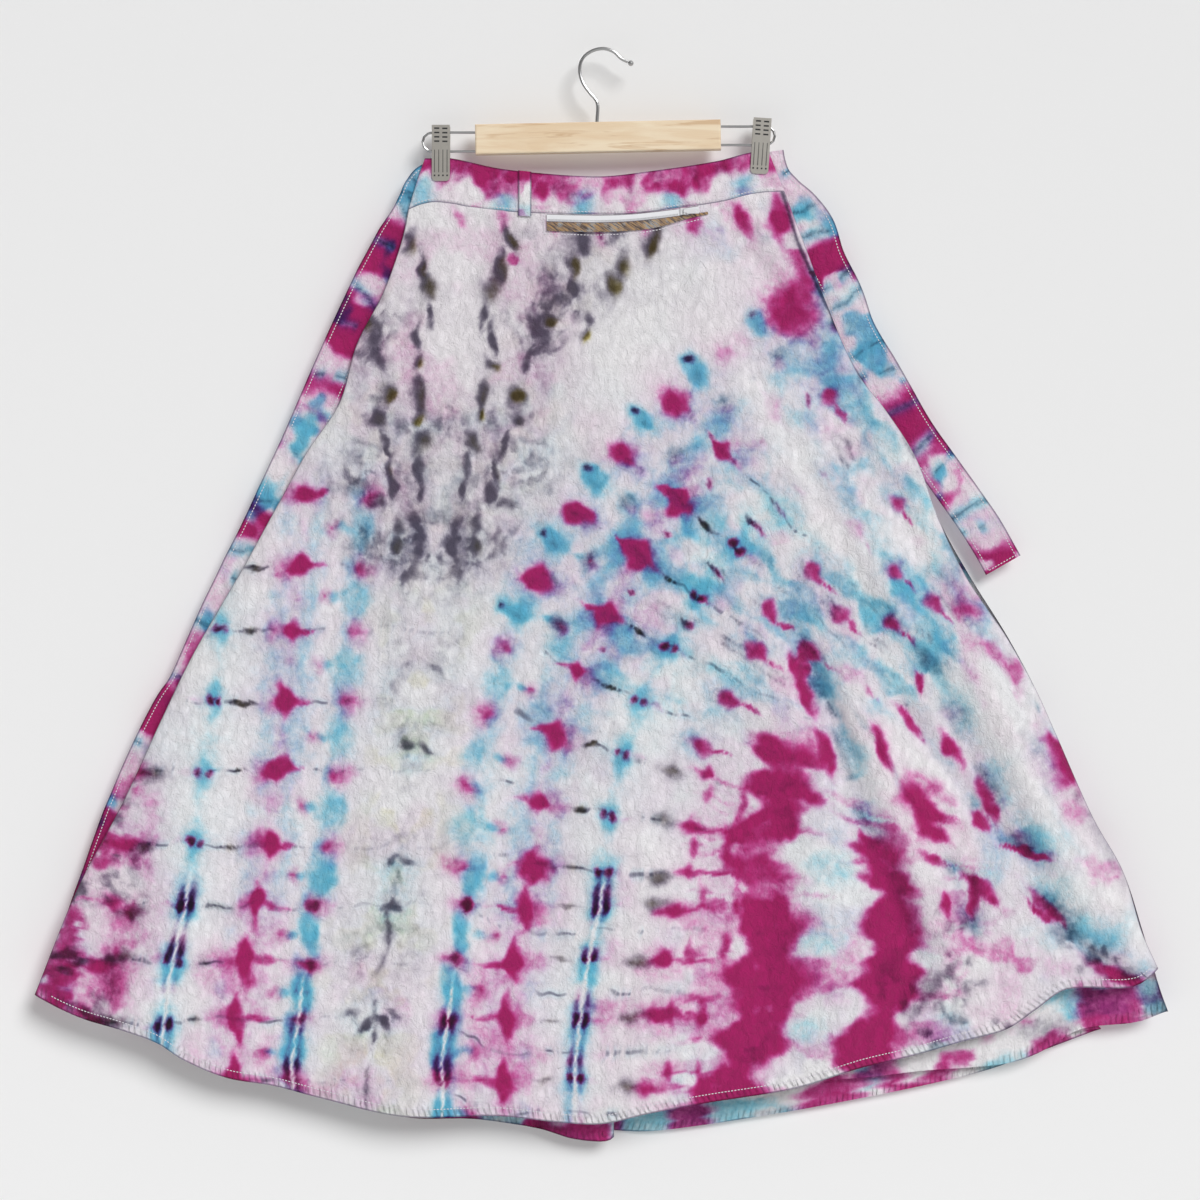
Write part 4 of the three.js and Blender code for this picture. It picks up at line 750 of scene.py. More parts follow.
def front_dye(e, s):
    dye = Dye(e, s)
    blots = lambda low, high, pitch, seed: ease(low, high, cloud(e, s, pitch, seed))
    u, v, pitch = fold_places(dye.e, dye.s)
    dist = e - mirror_e(s)
    a = abs(dye.e - mirror_e(dye.s))
    lump = cloud(e, s, 34, 3)
    fine = cloud(e, s, 14, 8)
    right = ease(0, 60, dist)
    left_side = 1 - right
    low = ease(430, 560, s)
    near_rings = np.clip(right * (1 - ease(1.0, 3.2, v)) + ease(1.0, 3.2, v) * low + left_side * low, 0, 1)
    beads = np.cos(2 * math.pi * v)
    # a faint tint over all of the cloth
    dye.add("c", 0.01 + 0.08 * blots(0.42, 0.7, 90, 15) * ease(380, 520, s))
    dye.add("m", 0.09 * blots(0.46, 0.72, 70, 16))
    dye.add("k", 0.01 + 0.10 * blots(0.44, 0.70, 50, 17) * ease(0.35, 0.6, fine))
    # cyan along the second, third and fourth rings, in lumps, washed out between them
    for ring, half, power, even_out in ((2.05, 0.22, 0.36, -0.3), (2.78, 0.22, 0.42, -0.1),
                                        (3.22, 0.18, 0.34, 0.1)):
        ribbon = np.exp(-((u - ring + 0.35 * (fine - 0.5)) / half) ** 2)
        dye.add("c", 1.1 * power * ribbon * near_rings * (0.80 + 0.6 * even_out * beads)
                * ease(0.20, 0.50, lump + 0.1)
                * (1 - 0.65 * ease(7.2, 8.6, v)))
    dye.add("m", 0.13 * bell(u - 3.05, 0.5) * near_rings * blots(0.38, 0.62, 24, 18))
    dye.add("c", 0.48 * bell(u - 4.0, 0.10) * near_rings * (0.7 + 0.3 * beads) * ease(0.9, 1.8, v))
    dye.add("c", 0.12 * bell(u - 4.0, 0.3) * near_rings * ease(0.4, 0.6, lump))
    # faint marks from one row to the next, between the rings
    ghosts = bell(u - 3.55, 0.30) + bell(u - 4.5, 0.35) + bell(u - 1.2, 0.5)
    dye.add("k", 0.16 * ghosts * low * blots(0.44, 0.66, 20, 19) * (0.5 + 0.5 * beads))
    ray_wash(dye, u, v, right, lump, fine)
    for k in range(1, 12):
        for side in (-1, 1):
            if k >= 2 or side > 0:
                column_motifs(dye, side, k)
            if k >= 2:
                half_motifs(dye, side, k + 0.5)
            if k >= 5:
                p = crossing(side, 4.72, k + jit(0.1))
                dye.marks(p, p[2], ("k", 0, 16, 9, 0.5, 1.4, 0.9, 0.10),
                          ("o", 0, 9, 5, 0.3, 1.4, 0.9))
                p = crossing(side, 5.15, k + jit(0.1))
                dye.marks(p, p[2], ("m", 0, 15, 8, 0.75 if side > 0 else 0.55, 1.2, 0.9, 0.14),
                          ("m", 26, 24, 3, 0.35, 1.0, 0.9))
    for k in range(-3, 4):
        ray_motifs(dye, k)
    for k in range(-2, 12):
        if k / 2 < 3:
            p = ring_place(4.0, k / 2)
            dye.marks(p, p[2], ("c", 0, 23, 16, 0.42, 1.8, 0.9),
                      ("k", 0, 13, 3.2, 0.8, 1.3, 0.7),
                      ("m", 6, 10, 4, 0.6, 1.3, 0.7))
    # fans and tailed diamonds beyond the fourth ring
    fans = [(ring, row) for ring, first, last, step in FAN_ROWS for row in np.arange(first, last, step)]
    for ring, row in fans:
        p = ring_place(ring + jit(0.1), row + jit(0.2))
        g = 1.05 + jit(0.25)
        dye.marks(p, p[2], ("m", 0, 13 * g, 10 * g, 0.72, 1.4, 0.7, 0.12),
                  ("k", -6 * g, 10 * g, 11 * g, 0.2, 1.6, 0.9),
                  ("m", 21 * g, 15 * g, 3.2, 0.65, 1.1, 0.7),
                  ("c", -8 * g, 24 * g, 18 * g, 0.36, 2.0, 0.9))
    # pink crosses and uprights in front of the first strong band
    for k in range(5, 12):
        for ring, tall in ((5.75, 16), (5.3, 13)):
            p = ring_place(ring + 0.1 * math.sin(k * 1.9), k + 0.35)
            dye.marks(p, p[2], ("m", 0, 5, tall, 0.5, 1.6, 0.9, 0.12),
                      ("m", 0, 18, 3.4, 0.34, 1.0, 0.9),
                      ("k", 0, 8, 5, 0.16, 1.4, 0.9))
    dye.add("c", right * 0.16 * ease(4.5, 5.2, u) * (1 - ease(5.6, 6.2, u)) * ease(6.0, 8.5, v)
            * blots(0.4, 0.62, 26, 38))
    dye.add("m", right * 0.20 * ease(4.5, 5.2, u) * (1 - ease(6.0, 6.6, u)) * ease(6.0, 8.5, v)
            * ease(0.36, 0.62, lump))
    strong_bands(dye, u, v, right, lump, fine)
    right_folds(dye)
    fold_dye_and_painted_shade(dye)
    far = right * ease(8.3, 9.2, u)
    dye.add("c", far * 0.32 * blots(0.45, 0.7, 62, 31))
    dye.add("m", far * 0.28 * blots(0.54, 0.72, 38, 32) * ease(0.4, 0.6, fine))
    grime = blots(0.42, 0.66, 40, 33) * blots(0.35, 0.65, 12, 34)
    dye.add("k", right * ease(7.9, 8.8, u) * 0.55 * grime * ease(860, 960, s))
    mottled_v(dye, a)
    dye.spot("m", 510, 259, 6.5, 6.5, 0, 0.7, 2, 0.4, 0.1)
    for k in range(8):
        pe = 462 + 46 * k + jit(10)
        near_tie = ease(640, 790, pe)
        ps = DYE_S - float(lower_z(pe - DYE_E)) + 14 + 14 * near_tie + jit(5)
        dye.spot("m", pe, ps, 12 + 12 * near_tie, 6 + 3 * near_tie, 1.2 + jit(0.4),
                 0.35 + 0.5 * near_tie, 1.6, 0.9, 0.14)
    dye.add("c", 0.35 * np.exp(-(((e - 740) / 46) ** 2 + ((s - 232) / 36) ** 2)) * ease(0.35, 0.6, lump))
    dye.add("m", 0.22 * np.exp(-(((e - 720) / 60) ** 2 + ((s - 215) / 26) ** 2)) * ease(0.35, 0.6, fine))
    # faint marks down the mirror line, and a thin grey stroke towards the hem
    spine = bell(a, 46) * ease(570, 640, s)
    dye.add("k", spine * (0.04 + 0.26 * ease(0.42, 0.66, cloud(a, s, 26, 51))
                          * ease(0.3, 0.6, cloud(a, s, 9, 55))))
    dye.add("c", spine * (0.03 + 0.18 * ease(0.42, 0.66, cloud(a, s, 40, 52))))
    dye.add("o", bell(a, 60) * ease(560, 640, s) * 0.24 * ease(0.5, 0.66, cloud(a, s, 20, 53)))
    stroke = bell(a, 3) * ease(830, 870, s) * (0.3 + 0.7 * ease(0.4, 0.6, noise(a * 0, s, 34, 54)))
    dye.add("k", stroke * 0.45)
    for ps, spread, dark in ((745, 9, 0.7), (860, 7, 0.6), (905, 5, 0.6), (1020, 9, 1.0),
                             (1012, 20, 0.5), (665, 14, 0.4)):
        for side in (-1, 1):
            pe = float(mirror_e(ps)) + spread * side
            dye.spot("k", pe, ps, 10, 5, 0.6 * side, dark, 1.3, 0.9, 0.12)
            dye.spot("c", pe, ps + 6, 20, 12, 0, 0.16, 2, 0.9)
    # the left flank and the hem: pink, grey and blue mottling
    flank = ease(215, 320, a) * left_side * ease(620, 780, s)
    dye.add("m", flank * (0.13 + 0.60 * blots(0.42, 0.64, 34, 61) * ease(0.28, 0.55, fine)))
    dye.add("k", flank * (0.12 + 0.65 * blots(0.44, 0.66, 24, 62) * blots(0.3, 0.6, 9, 65)))
    dye.add("c", flank * 0.26 * blots(0.44, 0.7, 50, 63))
    pillar = bell(a - 262, 15) * left_side * ease(800, 900, s)
    dye.add("m", 0.45 * pillar * ease(0.3, 0.6, lump))
    # painted shadow: a thin charcoal line down the front beside the right tie's inner edge, for the shaded
    # crevice between the front and the tie; the magenta beside it is dye
    beside = e - np.interp(s, [150, 240, 300, 370], [772, 799, 826, 862])
    shut = (1 - ease(360, 400, s)) * ease(140, 160, s)
    dye.add("k", 0.75 * shut * bell(beside + 1.5, 2.6))
    dye.add("m", 0.55 * shut * bell(beside + 9, 9) * ease(0.40, 0.56, noise(s, s * 0, 22, 66))
            * (1 - ease(290, 340, s)))
    dye.c *= 1 - 0.7 * ease(0.35, 0.9, dye.m)
    # towards the hem the fourth and second folds run dark on both sides of a white slit
    row = np.interp(s, ROW_AT, ROWS)
    for side in (-1, 1):
        for ring, start in ((4, 7.6), (2, 9.4)):
            off = mix(e, dye.e, 0.3) - mirror_e(s) - side * side_offset(ring)
            here = ease(start - 0.4, start + 0.2, row)
            knots = 0.5 + 0.5 * np.cos(2 * math.pi * (row + 0.15))
            dark = np.exp(-((abs(off) - 4.6) / (2.6 + 1.8 * knots)) ** 2) * here
            patchy = (0.25 + 0.75 * knots) * ease(0.22, 0.55, noise(s + side * 300, off * 0, 19, 73 + ring))
            dye.add("m", 0.85 * dark * patchy)
            dye.add("k", 0.50 * dark * patchy * (1.3 - 0.3 * side))
            dye.add("c", 0.55 * bell(off, 14) * here * (1 - 0.5 * knots)
                    * ease(0.25, 0.6, noise(s, off * 0, 31, 75 + ring)))
            dye.add("m", 0.16 * bell(off - 22 * side, 14) * here * ease(0.35, 0.6, lump))
            slit = bell(off, 2.2) * here
            for field in (dye.m, dye.c, dye.k):
                field *= 1 - 0.85 * slit
    dye.add("m", 0.15 * blots(0.52, 0.72, 44, 71) * ease(880, 980, s))
    between_rings = bell(u - 3.55, 0.26) + bell(u - 2.45, 0.14) + bell(u - 4.55, 0.3)
    lines = right * (1 - ease(6.2, 7.0, u)) * ease(-1.5, 0, v) * ease(1.5, 2.4, u)
    lines = (lines + left_side * ease(480, 540, s)) * (0.25 + 0.75 * np.clip(between_rings, 0, 1))
    return dye, np.stack([u, v, pitch], 1), lines


BLOT = 46


def cloudy_dye(e, s, seed, magenta, cyan, dark):
    """Plain blotched dye for the hidden layers."""
    dye = Dye(e, s)
    dye.add("m", magenta * ease(0.44, 0.58, cloud(e, s, BLOT, seed)))
    dye.add("c", cyan * ease(0.50, 0.62, cloud(e, s, BLOT * 0.9, seed + 7)))
    dye.add("k", dark * ease(0.5, 0.66, cloud(e, s, BLOT * 0.7, seed + 13)))
    dye.c *= 1 - 0.5 * ease(0.4, 0.9, dye.m)
    return dye


# ------------------------------------------------------------------ materials
class Graph:
    """Small helpers to write a material's maths."""

    def __init__(self, name):
        self.mat = bpy.data.materials.new(name)
        self.mat.use_nodes = True
        self.tree = self.mat.node_tree
        self.shader = self.tree.nodes["Principled BSDF"]

    def put(self, socket, value):
        if isinstance(value, bpy.types.NodeSocket):
            self.tree.links.new(value, socket)
        else:
            socket.default_value = value

    def math(self, op, a, b=0.0, c=0.0, clamp=False):
        node = self.tree.nodes.new("ShaderNodeMath")
        node.operation = op
        node.use_clamp = clamp
        for socket, value in zip(node.inputs, (a, b, c)):
            self.put(socket, value)
        return node.outputs[0]

    def times(self, a, b):
        return self.math("MULTIPLY", a, b)

    def plus(self, a, b):
        return self.math("ADD", a, b)

    def minus(self, a, b):
        return self.math("SUBTRACT", a, b)

    def step(self, value, low, high, to_low=0.0, to_high=1.0):
        node = self.tree.nodes.new("ShaderNodeMapRange")
        node.interpolation_type = "SMOOTHSTEP"
        for name, v in (("Value", value), ("From Min", low), ("From Max", high), ("To Min", to_low),
                        ("To Max", to_high)):
            self.put(node.inputs[name], v)
        return node.outputs[0]

    def attr(self, name):
        node = self.tree.nodes.new("ShaderNodeAttribute")
        node.attribute_name = name
        return node

    def xyz(self, vector):
        node = self.tree.nodes.new("ShaderNodeSeparateXYZ")
        self.put(node.inputs[0], vector)
        return node.outputs

    def vec(self, x, y, z):
        node = self.tree.nodes.new("ShaderNodeCombineXYZ")
        for socket, value in zip(node.inputs, (x, y, z)):
            self.put(socket, value)
        return node.outputs[0]

    def noise(self, vector, scale, detail=2.0, rough=0.5, distort=0.0):
        node = self.tree.nodes.new("ShaderNodeTexNoise")
        self.put(node.inputs["Vector"], vector)
        for name, v in (("Scale", scale), ("Detail", detail), ("Roughness", rough), ("Distortion", distort)):
            node.inputs[name].default_value = v
        return node.outputs[0]

    def place(self, x=1.0, y=1.0, z=1.0):
        coord = self.tree.nodes.new("ShaderNodeTexCoord")
        node = self.tree.nodes.new("ShaderNodeMapping")
        node.inputs["Scale"].default_value = (x, y, z)
        self.put(node.inputs["Vector"], coord.outputs["Object"])
        return node.outputs[0]

    def mixed(self, factor, a, b):
        node = self.tree.nodes.new("ShaderNodeMix")
        node.data_type = "RGBA"
        self.put(node.inputs[0], factor)
        for socket, value in ((node.inputs[6], a), (node.inputs[7], b)):
            if isinstance(value, tuple) and len(value) == 3:
                value = (*value, 1)
            self.put(socket, value)
        return node.outputs[2]

    def bump(self, height, distance, strength=1.0, under=None):
        node = self.tree.nodes.new("ShaderNodeBump")
        node.inputs["Strength"].default_value = strength
        node.inputs["Distance"].default_value = distance
        self.put(node.inputs["Height"], height)
        if under is not None:
            self.put(node.inputs["Normal"], under)
        return node.outputs[0]

    def look(self, colour, rough):
        self.put(self.shader.inputs["Base Color"], colour)
        self.shader.inputs["Roughness"].default_value = rough

    def rgb(self, channels):
        node = self.tree.nodes.new("ShaderNodeCombineColor")
        for socket, value in zip(node.inputs, channels):
            self.put(socket, value)
        return node.outputs[0]


COTTON_WHITE = (0.95, 0.93, 0.945)
# how strongly each dye takes up red, green and blue
UPTAKE = {"m": (0.78, 4.1, 1.9), "c": (2.0, 0.56, 0.26), "k": (2.2, 2.3, 1.95), "o": (0.55, 0.75, 2.4)}


def cotton(name, rows=False):
    g = Graph(name)
    dye = g.attr("dye")
    parts = g.tree.nodes.new("ShaderNodeSeparateColor")
    g.put(parts.inputs[0], dye.outputs["Color"])
    m, c, k = parts.outputs
    o = dye.outputs["Alpha"]
    place = g.place()
    n1 = g.noise(place, 55, 3, 0.6, 0.6)
    n2 = g.noise(place, 170, 4, 0.65)
    edge = g.plus(g.times(g.minus(n1, 0.5), 0.55),
                  g.times(g.minus(n2, 0.5), 0.45))
    fields = {}
    for key, value in (("m", m), ("c", c), ("k", k), ("o", o)):
        lively = g.times(edge, g.step(value, 0.0, 0.35))
        raised = g.math("MULTIPLY_ADD", lively, 0.95, value, clamp=True)
        kept = g.step(raised, 0.08, 0.86, 0.27, 1.02)
        fields[key] = g.times(raised, kept)
    if rows:
        fold = g.xyz(g.attr("fold").outputs["Vector"])
        mask = g.attr("lines").outputs["Fac"]
        wobble = g.times(g.minus(g.noise(place, 28, 2), 0.5), 0.16)
        v = g.plus(fold[1], wobble)
        off = g.math("ABSOLUTE", g.minus(g.math("FRACT", g.plus(v, 0.5)), 0.5))
        off_mm = g.times(off, fold[2])
        dash = g.step(g.noise(g.vec(fold[0], g.times(g.math("ROUND", v), 3.7), 0.0), 3.1, 3, 0.7), 0.47, 0.6)
        thin = g.minus(1.0, g.step(off_mm, 0.3, 2.8))
        line = g.times(g.times(thin, dash), mask)
        fields["k"] = g.plus(fields["k"], g.times(line, 0.5))
        halo = g.times(g.minus(1.0, g.step(off_mm, 1.0, 9.0)), g.times(dash, mask))
        fields["c"] = g.plus(fields["c"], g.times(halo, 0.10))
    # painted shade: charcoal added within about 2 mm of every edge, hem and side fold, for the dark outline
    # where the cloth turns away or stands off the layer behind
    rim = g.minus(1.0, g.step(g.xyz(g.attr("edge").outputs["Vector"])[2], 0.0, 2.2))
    fields["k"] = g.plus(fields["k"], g.times(rim, 0.55))
    channels = []
    for i in range(3):
        total = 0.0
        for key in ("m", "c", "k", "o"):
            total = g.math("MULTIPLY_ADD", fields[key], UPTAKE[key][i], total)
        worn = g.times(g.minus(n1, 0.5), 0.10)
        channels.append(g.times(COTTON_WHITE[i], g.math("EXPONENT", g.minus(worn, total))))
    g.look(g.rgb(channels), 0.92)
    g.shader.inputs["Specular IOR Level"].default_value = 0.2
    g.shader.inputs["Sheen Weight"].default_value = 0.12
    crush = g.noise(g.place(1.0, 1.0, 0.7), 120, 6, 0.72, 0.6)
    fibre = g.noise(place, 520, 2, 0.6)
    normal = g.bump(crush, 0.0055, 0.85)
    normal = g.bump(fibre, 0.0008, 0.6, normal)
    edge_at = g.xyz(g.attr("edge").outputs["Vector"])
    turn = g.plus(g.times(edge_at[1], 1.05), g.times(edge_at[0], 0.35))
    uneven = g.times(g.noise(g.vec(edge_at[1], 0.0, 0.0), 0.09, 2, 0.6), 9.0)
    pucker = g.math("SINE", g.plus(turn, uneven))
    in_hem = g.times(g.step(edge_at[0], 0.0, 3.0), g.minus(1.0, g.step(edge_at[0], 6.0, 13.0)))
    normal = g.bump(g.times(pucker, in_hem), 0.0007, 1.0, normal)
    g.put(g.shader.inputs["Normal"], normal)
    return g.mat


def plain(name, colour, rough=0.6, metal=0.0, speck=0.06, bump=0.0):
    g = Graph(name)
    n = g.noise(g.place(), 300, 3, 0.6)
    low = tuple(c * (1 - speck) for c in colour)
    high = tuple(min(1.0, c * (1 + speck)) for c in colour)
    g.look(g.mixed(n, low, high), rough)
    g.shader.inputs["Metallic"].default_value = metal
    if bump:
        g.put(g.shader.inputs["Normal"], g.bump(n, bump, 0.6))
    return g.mat


cotton_front = cotton("cotton_front", rows=True)
cotton_back = cotton("cotton_back")
cotton_band = cotton("cotton_band")
thread = plain("thread", (0.80, 0.77, 0.82), 0.8, speck=0.1)
seam_shade = plain("seam_shade", (0.10, 0.07, 0.10), 0.95)


# ------------------------------------------------------------------ panels
def hem_edge(hem_curve, x, z):
    """Distance from the hem and how far along it, in mm."""
    p = curve(hem_curve, 10)
    s = lengths(p)
    out_d, out_s = np.full(len(x), 99.0), np.zeros(len(x))
    order = p[:, 0].argsort()
    zh = np.interp(x, p[order, 0], p[order, 1])
    close = (z - zh) < 40
    d2 = (x[close, None] - p[None, :, 0]) ** 2 + (z[close, None] - p[None, :, 1]) ** 2
    best = np.clip(d2.argmin(1), 1, len(p) - 2)
    dist = np.full(best.shape, 1e9)
    along = np.zeros(best.shape)
    for k in (-1, 0):
        a, b = p[best + k], p[best + k + 1]
        ab = b - a
        t = np.clip(((x[close] - a[:, 0]) * ab[:, 0] + (z[close] - a[:, 1])
                     * ab[:, 1]) / (ab ** 2).sum(1), 0, 1)
        dx, dz = x[close] - a[:, 0] - t * ab[:, 0], z[close] - a[:, 1] - t * ab[:, 1]
        d = np.hypot(dx, dz)
        take = d < dist
        dist = np.where(take, d, dist)
        along = np.where(take, s[best + k] + t * np.linalg.norm(ab, axis=1), along)
    out_d[close], out_s[close] = dist, along
    return out_d, out_s


def crinkle(x, z, seed):
    """The soft unevenness of the hanging cloth, in mm."""
    return 1.5 * (cloud(x, z * 0.45, 46, seed) - 0.5) + 0.8 * (cloud(x, z * 0.7, 17, seed + 5) - 0.5)


def panel(name, node, point, piece, hem, pitch, rows, fold_end, material, seed, out, dye_of):
    u, v, faces = panel_grid(piece, pitch, rows, fold_end)
    x, y, z = point(u, v)
    d, along = hem_edge(hem, x, z)
    near = np.minimum(u, 1 - u) * wide(piece, v)
    calm = ease(0, 25, near) * ease(0, 0.02, v)
    y = y + out * calm * crinkle(x, z, seed)
    turned = 1 - ease(7.5, 10.5, d)
    pucker = 0.35 * np.sin(along / 6.4 * 2 * math.pi + 0.25 * d + 3 * noise(along, d * 0, 40, seed)) * turned
    y = y + out * (0.55 * turned + pucker) * ease(0, 12, near)
    if out > 0:
        faces = [f[::-1] for f in faces]
    obj = mesh_object(name, np.stack([x, y, z], 1), faces, material)
    made = dye_of(x + DYE_E, DYE_S - z)
    dye = made[0] if isinstance(made, tuple) else made
    # the third edge value, the distance from the nearest hem or side fold, sets where the cotton's painted
    # edge shade falls
    layers = {"dye": dye.values(), "edge": np.stack([d, along, np.minimum(d, near + 0.8)], 1)}
    if isinstance(made, tuple):
        layers.update(fold=made[1], lines=made[2])
    paint(obj, **layers)
    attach(obj, "root")
    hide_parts(node)
    return obj


front = panel("front_cloth", "front_panel", front_point, front_patch, FRONT_HEM, 2.9, 310, True,
              cotton_front, 1, -1, front_dye)
inner = panel("inner_cloth", "inner_wrap_panel", inner_point, inner_patch, INNER_HEM, 4.4, 200, False,
              cotton_back, 2, 1, lambda e, s: cloudy_dye(e, s, 301, 0.85, 0.5, 0.35))


def outer_dye(e, s):
    """The back repeats the tied pattern, turned about, and runs out in blots towards the hem."""
    dye = front_dye(1190 - e, s)[0]
    blots = cloudy_dye(e, s, 401, 0.75, 0.6, 0.35)
    low = ease(870, 1015, s + 40 * (cloud(e, s, 60, 402) - 0.5))
    for name in ("m", "c", "k", "o"):
        setattr(dye, name, mix(getattr(dye, name), getattr(blots, name), low))
    return dye


outer = panel("outer_cloth", "outer_wrap_panel", outer_point, outer_patch, OUTER_HEM, 4.0, 230, False,
              cotton_back, 3, 1, outer_dye)


# ------------------------------------------------------------------ waistband, ties, loop
def strip_faces(across, down):
    return [(j * across + i, (j + 1) * across + i, (j + 1) * across + i + 1, j * across + i + 1)
            for j in range(down - 1) for i in range(across - 1)]


def band_point(stretch, t, up):
    left = mix(BAND_LOWER[0][0], BAND_UPPER[0][0], up)
    right = mix(BAND_LOWER[-1][0], BAND_UPPER[-1][0], up)
    lr, rr = LAYER / 2, LAYER
    high = lambda x, drop: mix(lower_z(x) - 0.8, upper_z(x) - drop, up)
    if stretch == 0:
        x = mix(BAND_INNER_END, left + lr, t)
        return x, 0 * x, high(x, 1.5)
    if stretch == 1:
        x = left + lr * (1 - np.sin(t * math.pi))
        return x, -lr + lr * np.cos(t * math.pi), high(x, 1.5 * (1 - t))
    if stretch == 2:
        x = mix(left + lr, right - rr, t)
        return x, -LAYER - band_sag(x), high(x, 0)
    if stretch == 3:
        x = right - rr * (1 - np.sin(t * math.pi))
        return x, -rr * np.cos(t * math.pi), high(x, 1.5 * t)
    x = mix(right - rr, BAND_OUTER_END, t)
    return x, LAYER + 0 * x, high(x, 1.5)


# the band's way round the waist: stretch, rows, length
BAND_STRETCHES = ((0, 70, 206), (1, 6, 3), (2, 150, 375), (3, 6, 5), (4, 110, 345))


def waistband():
    ups = np.concatenate([[0, 0.02, 0.05], np.linspace(0.09, 0.95, 13), [0.98, 1.0]])
    cols, along, total = [], [], 0
    for stretch, count, length in BAND_STRETCHES:
        ts = np.linspace(0, 1, count, endpoint=stretch == 4)
        for t in ts:
            x, y, z = band_point(stretch, np.full(len(ups), t), ups)
            face = -1 if stretch == 2 else 1 if stretch == 4 else 0
            puff = 0.45 * np.sin(ups * math.pi) ** 0.3
            wave = 0.5 * (cloud(x, z * 0.5, 16, 91) - 0.5) + 0.7 * (cloud(x, z * 0.2, 40, 92) - 0.5)
            calm = ease(0, 0.06, t) * ease(1, 0.94, t)
            y = y + face * (puff + wave * calm)
            cols.append(np.stack([x, y, z], 1))
            along.append(total + t * length)
        total += length
    pts = np.vstack(cols)
    obj = mesh_object("waistband_cloth", pts, strip_faces(len(ups), len(cols)), cotton_band)
    e, s = pts[:, 0] + DYE_E, DYE_S - pts[:, 2]
    up = np.tile(ups, len(cols))
    run = np.repeat(along, len(ups))
    dye = Dye(e, s)
    blot = cloud(run, up * 40, 30, 95)
    drip = noise(run, run * 0, 22, 93) * 0.7 + noise(run, run * 0, 9, 94) * 0.3
    gone = 0.35 + 0.65 * ease(0.30, 0.48, noise(run, run * 0, 46, 90))
    level = up - 0.80 + 0.62 * drip + 0.10 * (blot - 0.5)
    cloudy = 0.62 + 0.60 * ease(0.38, 0.60, cloud(run, up * 40, 17, 96))
    dye.add("m", ease(-0.16, 0.22, level) * (0.25 + 0.60 * gone) * cloudy)
    dye.add("m", 0.10 * ease(0.3, 0.6, blot))
    for k in range(5):
        place, high = 425 + 81 * k + jit(6), 0.6 + jit(0.1)
        low_part = ease(high + 0.12, high - 0.15, up + 0.3 * (blot - 0.5))
        dye.add("c", 0.7 * bell(e - place, 13) * low_part * (0.6 + 0.5 * blot))
    dye.add("m", 0.26 * ease(0.55, 0.70, cloud(run, up * 40, 26, 98)))
    dye.add("k", 0.30 * ease(0.55, 0.72, cloud(run, up * 24, 16, 99)) * ease(0.15, 0.35, dye.m))
    dye.c *= 1 - 0.6 * ease(0.4, 0.9, dye.m)
    rim = np.minimum(up, 1 - up) * BAND_HIGH
    paint(obj, dye=dye.values(), edge=np.stack([rim + 90, rim, rim], 1))
    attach(obj, "root")
    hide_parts("waistband")
    return obj


band = waistband()


TIE_STEP, TIE_POINTS = 2.6, 19   # along the tie and across it


def tie_cloth(name, node, table, curl, seed, magenta, pleats):
    path = curve([(x, y, z) for x, z, y, w in table], 12)
    s = lengths(path)
    marks = s[::12]
    count = int(s[-1] / TIE_STEP)
    rows, vals, edges = [], [], []
    for k in range(count + 1):
        at = s[-1] * k / count
        mid = np.array([np.interp(at, s, path[:, i]) for i in range(3)])
        nxt = np.array([np.interp(min(at + 1.5, s[-1]), s, path[:, i]) for i in range(3)])
        prv = np.array([np.interp(max(at - 1.5, 0), s, path[:, i]) for i in range(3)])
        way = nxt - prv
        side = np.array([-way[2], 0, way[0]])
        side /= np.linalg.norm(side)
        width = float(np.interp(at, marks, [r[3] for r in table]))
        t = np.linspace(0, 1, TIE_POINTS)
        wavy = 0.6 * (noise(at + 0 * t, 0 * t + (t > 0.5) * 90, 26, seed) - 0.5) * abs(2 * t - 1)
        off = (t - 0.5) * (width + 2 * wavy)
        bend = curl * (4 * (t - 0.5) ** 2 - 0.5)
        ripple = 0.0
        for place, lean, deep in pleats:
            ripple = ripple + deep * np.exp(-((at - place - lean * (t - 0.5) * width) / 2.6) ** 2)
        soft = 0.9 * (cloud(at + 0 * t, off, 24, seed + 3) - 0.5) + 0.45 * (cloud(at + 0 * t, off, 9,
                                                                                  seed + 4) - 0.5)
        y = mid[1] + bend - soft + ripple * (0.4 + 0.6 * np.sin(t * math.pi))
        rows.append(np.stack([mid[0] + side[0] * off, y, mid[2] + side[2] * off], 1))
        vals.append(np.stack([at + 0 * t, off], 1))
        edges.append(np.minimum(t, 1 - t) * width)
    pts, flat = np.vstack(rows), np.vstack(vals)
    obj = mesh_object(name, pts, [f[::-1] for f in strip_faces(TIE_POINTS, count + 1)], cotton_band)
    dye = Dye(flat[:, 0], flat[:, 1])
    a, b = flat[:, 0], flat[:, 1]
    blot = cloud(a, b * 0.6, 44, seed + 11)
    dye.add("m", magenta * (0.25 + 1.0 * ease(0.42, 0.62, blot)))
    dye.add("c", 0.8 * ease(0.55, 0.72, cloud(a, b, 34, seed + 12)))
    dye.m *= 1 - 0.75 * ease(0.58, 0.72, cloud(a, b, 38, seed + 14))
    dye.add("k", 0.16 * ease(0.55, 0.75, cloud(a, b, 18, seed + 13)))
    for place, lean, deep in pleats:
        off = a - place - lean * b + 4 * (noise(a, b, 12, seed + 15) - 0.5)
        patchy = ease(0.25, 0.6, noise(a * 0 + place, b, 9, seed + 16))
        dye.add("k", 0.50 * bell(off, 2.6) * patchy)
        dye.add("c", 0.60 * bell(off, 8.5) * (0.4 + 0.6 * patchy))
        dye.m *= 1 - 0.45 * bell(off, 6) * patchy
    paint(obj, dye=dye.values(), edge=np.stack([np.concatenate(edges) + 14, a, np.concatenate(edges)], 1))
    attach(obj, "root")
    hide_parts(node)
    return obj, rows


